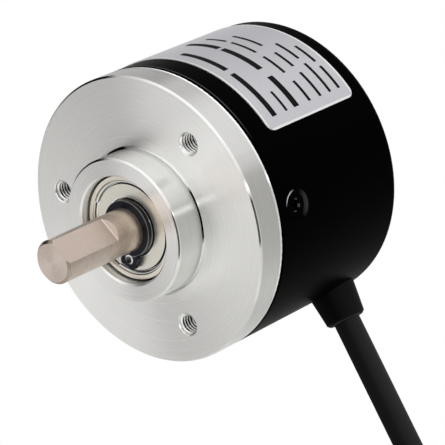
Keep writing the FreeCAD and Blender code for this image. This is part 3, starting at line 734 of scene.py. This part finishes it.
# moulding epoxy of the chips: dark grey and matt
CHIP = Coating("moulding_epoxy_dark", "#26272a", "#1c1d20", 0.6, depth=0.003, grain=0.1)
# clear infrared epoxy of the lamp: water clear with a faint tint
LAMP = Coating("clear_epoxy_cast", "#dfe6ee", "#d3dde8", 0.08, depth=0.001, grain=0.8, clear=0.9)
# chrome-on-glass mask: clear glass with a grey cast
MASK = Coating("mask_glass_polished", "#cfd6d6", "#c3cccc", 0.06, depth=0.0005, grain=0.8, clear=0.85)
# ceramic of the chip capacitors: tan and smooth
CERAMIC = Coating("ceramic_tan", "#b08a5c", "#a07a4e", 0.4)
# nitrile seal ring: black and dull
SEAL = Coating("nitrile_seal_ring", "#191a1a", "#101111", 0.55)
# PVC lead insulation: five plain colours with a slight gloss
LEAD_COLOURS = tuple(Coating(f"pvc_lead_{name}", colour, shade, 0.42, grain=0.3) for name, colour, shade in (
    ("black", "#18191a", "#121313"), ("white", "#e6e6e2", "#dadad5"), ("brown", "#6a4128", "#5a3620"),
    ("blue", "#24509a", "#1d4485"), ("grey", "#8b8d90", "#7d7f82"),
))
BLUE_LEAD = LEAD_COLOURS[3]
# silver foil plate with a satin lacquer: a soft sheen, and a light line along its edge
FOIL = FormedMetal("silver_foil_satin", "#dedee3", "#d2d2d8", 0.42, PLATE_MARKS,
                   depth=0.001, spread=0.0, grain=0.15, crispness=0.7, metal=0.6)
# screen ink on the plate: matt black
INK = Coating("screen_ink_black", "#0c0c0e", "#080809", 0.6, depth=0.0005, grain=0.1, specular=0.1)
# seamless paper of the studio: matt and pale, with a painted fall-off of light across it
PAPER = StudioPaper("studio_paper", "#f6f6f4", "#c8c8c6", 0.8)
# glass-epoxy board with solder mask: green, with lighter tracks
BOARD = Laminate("glass_epoxy_solder_mask", "#3f7a4c", "#23552f", 0.35)


class NodeRecipe:
    """A Geometry Nodes tree with named inputs, run once on a piece and turned into a plain mesh."""

    def __init__(self, name: str, inputs: dict[str, Socket]) -> None:
        """Start the tree.

        Args:
            name: Name of the tree.
            inputs: Kind of each named input.
        """
        self.tree = bpy.data.node_groups.new(name, "GeometryNodeTree")
        self.ids: dict[str, str] = {}
        kinds = {"Geometry": Socket.GEOMETRY, **inputs, "Material": Socket.MATERIAL}
        for label, kind in kinds.items():
            socket = self.tree.interface.new_socket(name=label, in_out="INPUT", socket_type=kind.value)
            self.ids[label] = socket.identifier
        self.tree.interface.new_socket(name="Geometry", in_out="OUTPUT", socket_type=Socket.GEOMETRY.value)
        self.given = add_node(self.tree, "NodeGroupInput").outputs

    def close(self, geometry: Feed) -> None:
        """End the tree in plain geometry with its material.

        Args:
            geometry: What the tree made.
        """
        solid = add_node(self.tree, "GeometryNodeRealizeInstances", {"Geometry": geometry})
        dressed = add_node(self.tree, "GeometryNodeSetMaterial", {
            "Geometry": solid, "Material": self.given["Material"],
        })
        add_node(self.tree, "NodeGroupOutput", {"Geometry": dressed})

    def put_on(self, piece: bpy.types.Object, finish: Finish, values: dict[str, float]) -> None:
        """Add the tree to a piece.

        Args:
            piece: Object that gets the tree.
            finish: Finish of what the tree makes.
            values: Value of each named input.
        """
        modifier = piece.modifiers.new(self.tree.name, "NODES")
        modifier.node_group = self.tree
        for label, value in values.items():
            modifier[self.ids[label]] = value
        modifier[self.ids["Material"]] = finish.material()

    def ring(self, geometry: Feed) -> Feed:
        """Repeat a shape round the shaft's axis by the inputs Count and First Angle.

        Args:
            geometry: The shape as it stands straight below the axis.

        Returns:
            The instances.
        """
        tree, given = self.tree, self.given
        points = add_node(tree, "GeometryNodePoints", {"Count": given["Count"]})
        index = add_node(tree, "GeometryNodeInputIndex")
        step = add_node(tree, "ShaderNodeMath", {0: -2 * math.pi, 1: given["Count"]}, operation="DIVIDE")
        turn = add_node(tree, "ShaderNodeMath", {0: index, 1: step}, operation="MULTIPLY")
        turn = add_node(tree, "ShaderNodeMath", {0: turn, 1: given["First Angle"]}, operation="SUBTRACT")
        spin = add_node(tree, "ShaderNodeCombineXYZ", {"Y": turn})
        return add_node(tree, "GeometryNodeInstanceOnPoints", {
            "Points": points, "Instance": geometry, "Rotation": spin,
        })


@dataclass
class PhotoCamera:
    """Camera at the photograph's place. Lengths in mm, angles in degrees."""

    aim: tuple[float, float, float] = (-0.059, 12.479, -4.631)
    distance: float = 357.24
    azimuth: float = 45.16
    elevation: float = -4.68
    roll: float = -29.87
    field_of_view: float = 9.715
    nearest: float = 10.0

    def build(self) -> None:
        """Place the camera and make it the scene's own."""
        roll = math.radians(self.roll)
        back, level, upright = directions(self.azimuth, self.elevation)
        right = math.cos(roll) * level + math.sin(roll) * upright
        up = math.cos(roll) * upright - math.sin(roll) * level
        data = bpy.data.cameras.new("photo_camera")
        data.angle = math.radians(self.field_of_view)
        data.clip_start = self.nearest * MM
        camera = new_piece("photo_camera", data)
        turn = Matrix((right, up, back)).transposed().to_4x4()
        camera.matrix_world = Matrix.Translation((Vector(self.aim) + self.distance * back) * MM) @ turn
        bpy.context.scene.camera = camera
        log.info("camera placed")


@dataclass(frozen=True)
class Softbox:
    """One far rectangle of white light, or a dark card where its strength is below zero. Sizes in degrees."""

    azimuth: float
    elevation: float
    half_width: float
    half_height: float
    strength: float
    blur: float = 10.0


@dataclass(frozen=True)
class Lamp:
    """One near lamp. Sizes in mm, spread in degrees."""

    name: str
    place: tuple[float, float, float]
    width: float
    height: float
    watts: float
    aim: tuple[float, float, float] = (0, 0, 0)
    spread: float = 180.0
    mirrored: bool = True

    def build(self) -> None:
        """Hang the lamp so that it faces its aim."""
        data = bpy.data.lights.new(self.name, "AREA")
        data.shape = "RECTANGLE"
        data.size, data.size_y = self.width * MM, self.height * MM
        data.energy = self.watts
        data.spread = math.radians(self.spread)
        lamp = new_piece(self.name, data)
        back = Vector(self.place) - Vector(self.aim)
        turn = back.to_track_quat("Z", "Y").to_matrix().to_4x4()
        lamp.matrix_world = Matrix.Translation(Vector(self.place) * MM) @ turn
        lamp.visible_camera = False
        lamp.visible_glossy = self.mirrored


@dataclass
class Studio:
    """Pale floor, white backdrop, soft light from a few large boxes, and dark cards. Sizes in mm."""

    backdrop: str = WHITE
    fill: str = "#d5d4d4"
    floor_z: float = -91.2
    floor_radius: float = 1200.0
    floor_sides: int = 96
    boxes: tuple[Softbox, ...] = (
        Softbox(0, 1, 62, 10, 0.48),
        Softbox(43, 44, 40, 30, 0.62),
        Softbox(130, 22, 40, 18, 0.15),
        Softbox(-115, 30, 20, 14, 0.38),
        Softbox(0, 90, 20, 20, 0.25),
        Softbox(-160, 2, 26, 12, 0.30),
        Softbox(-106, 3, 28, 13, -0.45),
        Softbox(-73, 37, 35, 28, -0.47),
        Softbox(-135, 60, 26, 15, -0.45),
        Softbox(135, 60, 26, 15, -0.20),
    )
    lamps: tuple[Lamp, ...] = (
        Lamp("lamp_by_the_camera", (200.7, -212.1, -60.0), 14, 14, 0.033),
        Lamp("lamp_over_the_floor", (20, -125, -25), 300, 160, 0.125, aim=(20, -125, -91), mirrored=False),
        Lamp("lamp_beside_the_cable", (68, 54, -50), 20, 20, 0.016, aim=(0, 22, -33), spread=50,
             mirrored=False),
    )

    def build(self) -> None:
        """Make the backdrop, light and floor."""
        scene = bpy.context.scene
        scene.view_settings.view_transform = "Standard"
        scene.world = self.light()
        for lamp in self.lamps:
            lamp.build()
        self.floor()
        log.info("studio lit")

    def light(self) -> bpy.types.World:
        """Make the world's light, which the camera itself sees as a plain backdrop.

        Returns:
            The world.
        """
        world = bpy.data.worlds.new("studio")
        world.use_nodes = True
        tree = world.node_tree
        tree.nodes.clear()
        ray = add_node(tree, "ShaderNodeTexCoord").outputs["Generated"]
        light = linear(self.fill)
        for box in self.boxes:
            light = self.add_box(tree, ray, light, box)
        studio = add_node(tree, "ShaderNodeBackground", {"Color": light})
        plain = add_node(tree, "ShaderNodeBackground", {"Color": linear(self.backdrop)})
        seen = add_node(tree, "ShaderNodeLightPath").outputs["Is Camera Ray"]
        mixed = add_node(tree, "ShaderNodeMixShader", {0: seen, 1: studio, 2: plain})
        add_node(tree, "ShaderNodeOutputWorld", {"Surface": mixed})
        return world

    def add_box(self, tree: Tree, ray: Feed, light: Feed | tuple[float, ...], box: Softbox) -> Feed:
        """Add one softbox to the light.

        Args:
            tree: The world's tree.
            ray: Direction that is looked in.
            light: Light before it.
            box: The softbox.

        Returns:
            The light with this box.
        """
        towards, right, up = directions(box.azimuth, box.elevation)
        share = add_node(tree, "ShaderNodeVectorMath", {0: ray, 1: towards}, operation="DOT_PRODUCT")
        share = add_node(tree, "ShaderNodeMath", {0: share, 1: 0.0}, operation="GREATER_THAN")
        for axis, half in ((right, box.half_width), (up, box.half_height)):
            off = add_node(tree, "ShaderNodeVectorMath", {0: ray, 1: axis}, operation="DOT_PRODUCT")
            off = add_node(tree, "ShaderNodeMath", {0: off}, operation="ABSOLUTE")
            inside = add_node(tree, "ShaderNodeMapRange", {
                "Value": off, "From Min": math.sin(math.radians(min(half + box.blur / 2, 90))),
                "From Max": math.sin(math.radians(max(half - box.blur / 2, 0))),
            }, interpolation_type="SMOOTHSTEP")
            share = add_node(tree, "ShaderNodeMath", {0: share, 1: inside}, operation="MULTIPLY")
        share = add_node(tree, "ShaderNodeMath", {0: share, 1: box.strength}, operation="MULTIPLY")
        return add_node(tree, "ShaderNodeMix", {
            0: share, 6: light, 7: linear(WHITE),
        }, data_type="RGBA", blend_type="ADD", clamp_factor=False)

    def floor(self) -> None:
        """Lay the floor below the cable's coil."""
        mesh = bpy.data.meshes.new("studio_floor")
        form = bmesh.new()
        bmesh.ops.create_circle(form, cap_ends=True, segments=self.floor_sides, radius=self.floor_radius * MM,
                                matrix=Matrix.Translation((0, 0, self.floor_z * MM)))
        form.to_mesh(mesh)
        form.free()
        floor = new_piece("studio_floor", mesh)
        floor.data.materials.append(PAPER.material())


@dataclass
class Cable:
    """Round cable from the gland to a tied coil, and five stripped leads. Sizes in mm, angles in degrees."""

    diameter: float = 3.8
    length: float = 1000.0
    start_z: float = -14.2
    root_y: float = 24.4
    root_z: float = -20.0
    rake: float = 5.5
    gland_height: float = 4.4
    runs: tuple[float, ...] = (0.0, 3.0, 12.0, 28.0)
    coil_z: float = -66.0
    outer_turn: float = 22.55
    inner_turn: float = 18.65
    pitch: float = 3.9
    rows: int = 4
    points_per_turn: int = 18
    end_angle: float = 2553.0
    cross_width: float = 60.0
    lead_end: float = 98.0
    lead_tuck: float = 4.0
    lead_d: float = 1.0
    lead_circle: float = 1.2
    lead_points: int = 9
    bare_from: float = 82.0
    bare_tuck: float = 2.0
    bare_d: float = 0.6

    def below_root(self, run: float) -> Vector:
        """Place a point on the cable's straight run.

        Args:
            run: Distance from the gland's root in mm.

        Returns:
            The point in metres.
        """
        turn = math.radians(self.rake)
        return Vector((0, self.root_y - run * math.sin(turn), self.root_z - run * math.cos(turn))) * MM

    def on_coil(self, angle: float, radius: float, x: float) -> Vector:
        """Place a point on the coil, whose outer turn just touches the straight run.

        Args:
            angle: Degrees from the coil's lowest point, towards -Y.
            radius: Distance from the coil's centre in mm.
            x: Place across the coil in mm.

        Returns:
            The point in metres.
        """
        rake, turn = math.radians(self.rake), math.radians(angle)
        middle = self.root_y + (self.coil_z - self.root_z) * math.tan(rake) - self.outer_turn / math.cos(rake)
        return Vector((x, middle - radius * math.sin(turn), self.coil_z - radius * math.cos(turn))) * MM

    def winding(self, angle: float) -> tuple[float, float]:
        """Find which turn lies at an angle along the winding.

        Args:
            angle: Degrees along the winding.

        Returns:
            The turn's radius and place across the coil, in mm.
        """
        first = 180 - self.cross_width / 2
        turns = range(2 * self.rows - 1)
        steps = [min(max((angle - first - 360 * turn) / self.cross_width, 0), 1) for turn in turns]
        eased = [step * step * (3 - 2 * step) for step in steps]
        outward, across, inward = eased[:self.rows - 1], eased[self.rows - 1], eased[self.rows:]
        x = self.pitch * (sum(inward) - sum(outward))
        return self.outer_turn + (self.inner_turn - self.outer_turn) * across, x

    def route(self) -> list[Vector]:
        """List the cable's control points.

        Returns:
            Points in metres, from inside the gland to the cable's end.
        """
        points = [Vector((0, self.root_y, self.start_z)) * MM, *(self.below_root(run) for run in self.runs)]
        join = self.rake - 90
        count = round((self.end_angle - join) * self.points_per_turn / 360)
        swell = 1 / math.cos(math.pi / self.points_per_turn)
        for index in range(count + 1):
            angle = join + (self.end_angle - join) * index / count
            radius, x = self.winding(angle)
            points.append(self.on_coil(angle, radius * swell, x))
        return points

    def tube(self, name: str, points: list[Vector], diameter: float) -> bpy.types.Object:
        """Draw a round tube along a smooth line.

        Args:
            name: Name of the piece.
            points: Control points in metres.
            diameter: Tube's diameter in mm.

        Returns:
            The curve object.
        """
        curve = bpy.data.curves.new(name, "CURVE")
        curve.dimensions = "3D"
        line = curve.splines.new("NURBS")
        line.points.add(len(points) - 1)
        for point, place in zip(line.points, points):
            point.co = (*place, 1)
        line.order_u = 3
        line.use_endpoint_u = True
        line.resolution_u = 6
        curve.bevel_depth = diameter / 2 * MM
        curve.bevel_resolution = 5
        curve.use_fill_caps = True
        return new_piece(name, curve)

    def leads(self) -> bpy.types.Object:
        """Make the five coloured leads with their tinned ends.

        Returns:
            The leads as one piece.
        """
        mesh = bpy.data.meshes.new("stripped_leads")
        form = bmesh.new()
        for finish in (*LEAD_COLOURS, TIN):
            mesh.materials.append(finish.material())
        count = len(LEAD_COLOURS)
        first = self.end_angle % 360
        for colour in range(count):
            turn = 2 * math.pi * colour / count
            radius, x = self.inner_turn + self.lead_circle * math.cos(turn), self.lead_circle * math.sin(turn)
            for start, end, diameter, slot in (
                (first - self.lead_tuck, self.bare_from, self.lead_d, colour),
                (self.bare_from - self.bare_tuck, self.lead_end, self.bare_d, count),
            ):
                angles = [start + (end - start) * at / (self.lead_points - 1) for at in range(self.lead_points)]
                tube = self.tube("lead", [self.on_coil(angle, radius, x) for angle in angles], diameter)
                part = as_mesh(tube)
                bpy.data.objects.remove(tube)
                known = len(form.faces)
                form.from_mesh(part)
                form.faces.ensure_lookup_table()
                for face in form.faces[known:]:
                    face.material_index = slot
                bpy.data.meshes.remove(part)
        form.to_mesh(mesh)
        form.free()
        return new_piece("stripped_leads", mesh)

    def build(self) -> None:
        cable = self.tube("signal_cable", self.route(), self.diameter)
        cable.data.materials.append(JACKET.material())
        cable.visible_glossy = False  # keeps the coil, which is out of view, out of the base's shine too
        leads = self.leads()
        attach(cable, Slot.JACKET, "cable", "cable_coil")
        attach(leads, Slot.LEADS, "cable_end_leads")
        log.info("cable laid, %d leads", len(LEAD_COLOURS))


@dataclass
class MountingThreads:
    """Screw threads in the three mounting holes, M3 by 0.5. Sizes in mm."""

    helix_radius: float = 1.43
    section_radius: float = 0.19
    section_corners: int = 3
    pitch: float = 0.5
    mouth: float = 0.2
    turns: float = 10.5
    sides: int = 40

    def recipe(self) -> NodeRecipe:
        """Build the tree: a helix swept with the thread's section, repeated round the hole circle.

        Returns:
            The tree.
        """
        made = NodeRecipe("mounting_threads", {
            "Turns": Socket.NUMBER, "Height": Socket.NUMBER, "Radius": Socket.NUMBER,
            "Section": Socket.NUMBER, "Mouth": Socket.NUMBER, "Circle Radius": Socket.NUMBER,
            "Count": Socket.COUNT, "First Angle": Socket.NUMBER,
        })
        tree, given = made.tree, made.given
        helix = add_node(tree, "GeometryNodeCurveSpiral", {
            "Resolution": self.sides, "Rotations": given["Turns"], "Start Radius": given["Radius"],
            "End Radius": given["Radius"], "Height": given["Height"],
        })
        upright = add_node(tree, "GeometryNodeSetCurveNormal", {"Curve": helix}, mode="Z_UP")
        section = add_node(tree, "GeometryNodeCurvePrimitiveCircle", {
            "Resolution": self.section_corners, "Radius": given["Section"],
        })
        ridge = add_node(tree, "GeometryNodeCurveToMesh", {
            "Curve": upright, "Profile Curve": section, "Fill Caps": True,
        })
        drop = add_node(tree, "ShaderNodeMath", {0: given["Circle Radius"], 1: -1.0}, operation="MULTIPLY")
        place = add_node(tree, "ShaderNodeCombineXYZ", {"Y": given["Mouth"], "Z": drop})
        seated = add_node(tree, "GeometryNodeTransform", {
            "Geometry": ridge, "Translation": place, "Rotation": (-math.pi / 2, 0, 0),
        })
        flat = add_node(tree, "GeometryNodeSetShadeSmooth", {"Geometry": seated, "Shade Smooth": False})
        made.close(made.ring(flat))
        return made

    def build(self) -> None:
        """Cut the threads into one piece that rides with the housing."""
        piece = new_piece("mounting_threads", bpy.data.meshes.new("mounting_threads"))
        self.recipe().put_on(piece, ALUMINIUM, {
            "Turns": self.turns, "Height": self.turns * self.pitch * MM, "Radius": self.helix_radius * MM,
            "Section": self.section_radius * MM, "Mouth": self.mouth * MM, "Circle Radius": HOLE_CIRCLE * MM,
            "Count": HOLE_COUNT, "First Angle": math.radians(HOLE_ANGLE),
        })
        settle(piece)
        attach(piece, Slot.ALUMINIUM)
        log.info("threads cut, %d faces", len(piece.data.polygons))


@dataclass
class CoverScrews:
    """Countersunk screws that hold the cover, with cross recesses. Sizes in mm, angles in degrees."""

    face_radius: float = 19.6
    head_d: float = 3.5
    edge: float = 0.12
    rim: float = 0.15
    cone: float = 0.75
    shank_d: float = 2.0
    length: float = 4.2
    point: float = 0.3
    wing: float = 0.9
    turn: float = 18.0
    slot: float = 0.24
    recess: float = 0.75
    taper: float = 0.6
    sides: int = 48
    crease: float = 30.0

    def loop(self, form: bmesh.types.BMesh, radius: float, depth: float) -> list[bmesh.types.BMVert]:
        """Add a ring of points round the screw's axis.

        Args:
            form: Mesh that gets the ring.
            radius: Ring's radius in mm.
            depth: How far below the head's face it lies, in mm.

        Returns:
            The ring's points.
        """
        turns = [2 * math.pi * side / self.sides for side in range(self.sides)]
        return [form.verts.new(self.seat(radius * math.cos(t), radius * math.sin(t), depth)) for t in turns]

    def cross(self, form: bmesh.types.BMesh, scale: float, depth: float) -> list[bmesh.types.BMVert]:
        """Add the outline of the cross recess.

        Args:
            form: Mesh that gets the outline.
            scale: Size of the cross, one at the head's face.
            depth: How far below the head's face it lies, in mm.

        Returns:
            The outline's points.
        """
        wing, slot = self.wing * scale, self.slot * (1 + scale) / 2
        points = []
        for quarter in range(4):
            turn = quarter * math.pi / 2
            points += [(a * math.cos(turn) - b * math.sin(turn), a * math.sin(turn) + b * math.cos(turn))
                       for a, b in ((wing, -slot), (wing, slot), (slot, slot))]
        return [form.verts.new(self.seat(a, b, depth)) for a, b in points]

    def seat(self, across: float, along: float, depth: float) -> Vector:
        """Place a point of the screw that stands straight below the axis.

        Args:
            across: Distance from the screw's axis towards +X in mm.
            along: Distance from the screw's axis towards +Y in mm.
            depth: Depth below the head's face in mm.

        Returns:
            The point in metres.
        """
        turn = math.radians(self.turn)
        x = across * math.cos(turn) - along * math.sin(turn)
        y = across * math.sin(turn) + along * math.cos(turn)
        return Vector((x, SCREW_Y + y, -self.face_radius + depth)) * MM

    def screw(self) -> bpy.types.Mesh:
        """Build one screw.

        Returns:
            Its mesh.
        """
        form = bmesh.new()
        head, shank = self.head_d / 2, self.shank_d / 2
        rings = [self.loop(form, radius, depth) for radius, depth in (
            (head - self.edge, 0), (head, self.edge), (head, self.rim), (shank, self.rim + self.cone),
            (shank, self.length - self.point), (shank - self.point, self.length),
        )]
        crosses = [self.cross(form, 1.0, 0), self.cross(form, self.taper, self.recess)]
        for upper, lower in [*zip(rings, rings[1:]), crosses]:
            for side in range(len(upper)):
                after = (side + 1) % len(upper)
                form.faces.new((upper[side], upper[after], lower[after], lower[side]))
        form.faces.new(rings[-1])
        form.faces.new(crosses[1])
        outlines = (rings[0], crosses[0])
        edges = [form.edges.get(ends) for loop in outlines for ends in zip(loop, loop[1:] + loop[:1])]
        bmesh.ops.triangle_fill(form, use_beauty=True, edges=edges)
        bmesh.ops.recalc_face_normals(form, faces=form.faces[:])
        mesh = bpy.data.meshes.new("cover_screw")
        form.to_mesh(mesh)
        form.free()
        mesh.shade_smooth()
        mesh.set_sharp_from_angle(angle=math.radians(self.crease))
        return mesh

    def build(self) -> None:
        """Set the screws round the cover."""
        recipe = NodeRecipe("cover_screws", {"Count": Socket.COUNT, "First Angle": Socket.NUMBER})
        recipe.close(recipe.ring(recipe.given["Geometry"]))
        piece = new_piece("cross_recess_screws", self.screw())
        recipe.put_on(piece, SCREW, {"Count": SCREW_COUNT, "First Angle": math.radians(SCREW_ANGLE)})
        settle(piece)
        attach(piece, Slot.SCREW, "cover_screws")
        log.info("cover screws set, %d faces", len(piece.data.polygons))


@dataclass(frozen=True)
class PrintRow:
    """One row of plain bars on the plate. Sizes in mm along the plate."""

    y: float
    height: float
    length: float
    bars: int
    seed: int


@dataclass
class PlatePrint:
    """Plain printed bars on the silver plate, each a random share of its room. Sizes in mm."""

    thickness: float = 0.02
    margin: float = 1.8
    least: float = 0.6
    most: float = 0.92
    bar_points: int = 13
    rows: tuple[PrintRow, ...] = (
        PrintRow(10.8, 0.95, 19.0, 2, 3),
        PrintRow(13.3, 0.45, 5.0, 1, 8),
        PrintRow(15.4, 1.05, 22.0, 3, 5),
        PrintRow(18.2, 0.5, 21.0, 4, 2),
        PrintRow(20.5, 0.5, 17.0, 3, 9),
        PrintRow(22.6, 0.5, 13.0, 2, 4),
        PrintRow(24.5, 0.5, 10.0, 2, 6),
    )

    def recipe(self) -> NodeRecipe:
        """Build the tree: bars of uneven length in a row, bent round the plate.

        Returns:
            The tree.
        """
        made = NodeRecipe("printed_row", {
            "Row Y": Socket.NUMBER, "Row Height": Socket.NUMBER, "Start": Socket.NUMBER,
            "Length": Socket.NUMBER, "Bars": Socket.COUNT, "Seed": Socket.COUNT, "Radius": Socket.NUMBER,
            "Start Angle": Socket.NUMBER, "Thickness": Socket.NUMBER,
        })
        tree, given = made.tree, made.given
        points = add_node(tree, "GeometryNodePoints", {"Count": given["Bars"]})
        index = add_node(tree, "GeometryNodeInputIndex")
        cell = add_node(tree, "ShaderNodeMath", {0: given["Length"], 1: given["Bars"]}, operation="DIVIDE")
        share = add_node(tree, "FunctionNodeRandomValue", {
            2: self.least, 3: self.most, "ID": index, "Seed": given["Seed"],
        }, data_type="FLOAT")
        size = add_node(tree, "ShaderNodeMath", {0: cell, 1: share}, operation="MULTIPLY")
        begin = add_node(tree, "ShaderNodeMath", {
            0: index, 1: cell, 2: given["Start"],
        }, operation="MULTIPLY_ADD")
        middle = add_node(tree, "ShaderNodeMath", {0: size, 1: 0.5, 2: begin}, operation="MULTIPLY_ADD")
        place = add_node(tree, "ShaderNodeCombineXYZ", {"X": middle, "Y": given["Row Y"]})
        spots = add_node(tree, "GeometryNodeSetPosition", {"Geometry": points, "Position": place})
        scale = add_node(tree, "ShaderNodeCombineXYZ", {
            "X": size, "Y": given["Row Height"], "Z": given["Thickness"],
        })
        bar = add_node(tree, "GeometryNodeMeshCube", {
            "Size": (1, 1, 1), "Vertices X": self.bar_points, "Vertices Y": 2, "Vertices Z": 2,
        })
        laid = add_node(tree, "GeometryNodeInstanceOnPoints", {
            "Points": spots, "Instance": bar, "Scale": scale,
        })
        solid = add_node(tree, "GeometryNodeRealizeInstances", {"Geometry": laid})
        place = add_node(tree, "GeometryNodeInputPosition")
        flat = add_node(tree, "ShaderNodeSeparateXYZ", {"Vector": place}).outputs
        turn = add_node(tree, "ShaderNodeMath", {0: flat["X"], 1: given["Radius"]}, operation="DIVIDE")
        turn = add_node(tree, "ShaderNodeMath", {0: turn, 1: given["Start Angle"]}, operation="ADD")
        from_top = add_node(tree, "ShaderNodeMath", {0: math.pi, 1: turn}, operation="SUBTRACT")
        reach = add_node(tree, "ShaderNodeMath", {0: flat["Z"], 1: given["Radius"]}, operation="ADD")
        upright = add_node(tree, "ShaderNodeCombineXYZ", {"Y": flat["Y"], "Z": reach})
        bent = add_node(tree, "ShaderNodeVectorRotate", {
            "Vector": upright, "Angle": from_top,
        }, rotation_type="Y_AXIS")
        wrapped = add_node(tree, "GeometryNodeSetPosition", {"Geometry": solid, "Position": bent})
        joined = add_node(tree, "GeometryNodeJoinGeometry", {"Geometry": wrapped})
        tree.links.new(given["Geometry"], joined.inputs[0])
        made.close(joined)
        return made

    def build(self) -> None:
        """Print the rows on the plate."""
        piece = new_piece("plate_print", bpy.data.meshes.new("plate_print"))
        recipe = self.recipe()
        for row in self.rows:
            recipe.put_on(piece, INK, {
                "Row Y": row.y * MM, "Row Height": row.height * MM, "Start": self.margin * MM,
                "Length": row.length * MM, "Bars": row.bars, "Seed": row.seed, "Radius": PLATE_RADIUS * MM,
                "Start Angle": math.radians(PLATE_START), "Thickness": self.thickness * MM,
            })
        settle(piece)
        attach(piece, Slot.PLATE)
        log.info("plate printed, %d rows", len(self.rows))


@dataclass
class CadPieces:
    """Pieces whose solids are right as they are, each with its finish."""

    finishes: tuple[tuple[Finish, tuple[str, ...]], ...] = (
        (ALUMINIUM, ("base_flange",)),
        (ENAMEL, ("cover",)),
        (FOIL, ("nameplate",)),
        (RUBBER, ("cable_gland",)),
        (SEAL, ("cover_seal",)),
        (STAINLESS, ("shaft",)),
        (OXIDE, ("hub_set_screws",)),
        (SNAP, ("snap_ring",)),
        (OUTER_RING, ("front_outer_ring", "rear_outer_ring")),
        (BEARING, ("front_inner_ring", "rear_inner_ring", "front_balls", "rear_balls")),
        (SHIELD, ("front_shields", "rear_shields")),
        (SPRING, ("front_shield_wires", "rear_shield_wires", "preload_spring")),
        (NYLON, ("front_cage", "rear_cage", "wire_header")),
        (BRASS, ("disc_hub", "board_standoffs")),
        (DISC, ("code_disc",)),
        (MASK, ("index_mask",)),
        (CHIP, ("photo_sensor", "output_driver")),
        (LAMP, ("led_emitter",)),
        (HOLDER, ("led_holder",)),
        (BOARD, ("circuit_board",)),
        (CERAMIC, ("board_capacitors",)),
        (BLUE_LEAD, ("lead_wires",)),
        (TIN, ("led_leads", "cable_ferrule")),
        (ZINC, ("board_screws",)),
        (TIE, ("coil_tie",)),
    )

    def build(self) -> None:
        """Dress each piece."""
        for finish, names in self.finishes:
            for name in names:
                for slot in frame["nodes"][name].material_slots:
                    slot.material = finish.material()
                log.info("%s finished in %s", name, finish.name)


def main() -> None:
    """Build the scene."""
    for assembly in (PhotoCamera, Studio, Cable, MountingThreads, CoverScrews, PlatePrint, CadPieces):
        assembly().build()


if __name__ == "__main__":
    logging.basicConfig(level=logging.INFO)
    main()
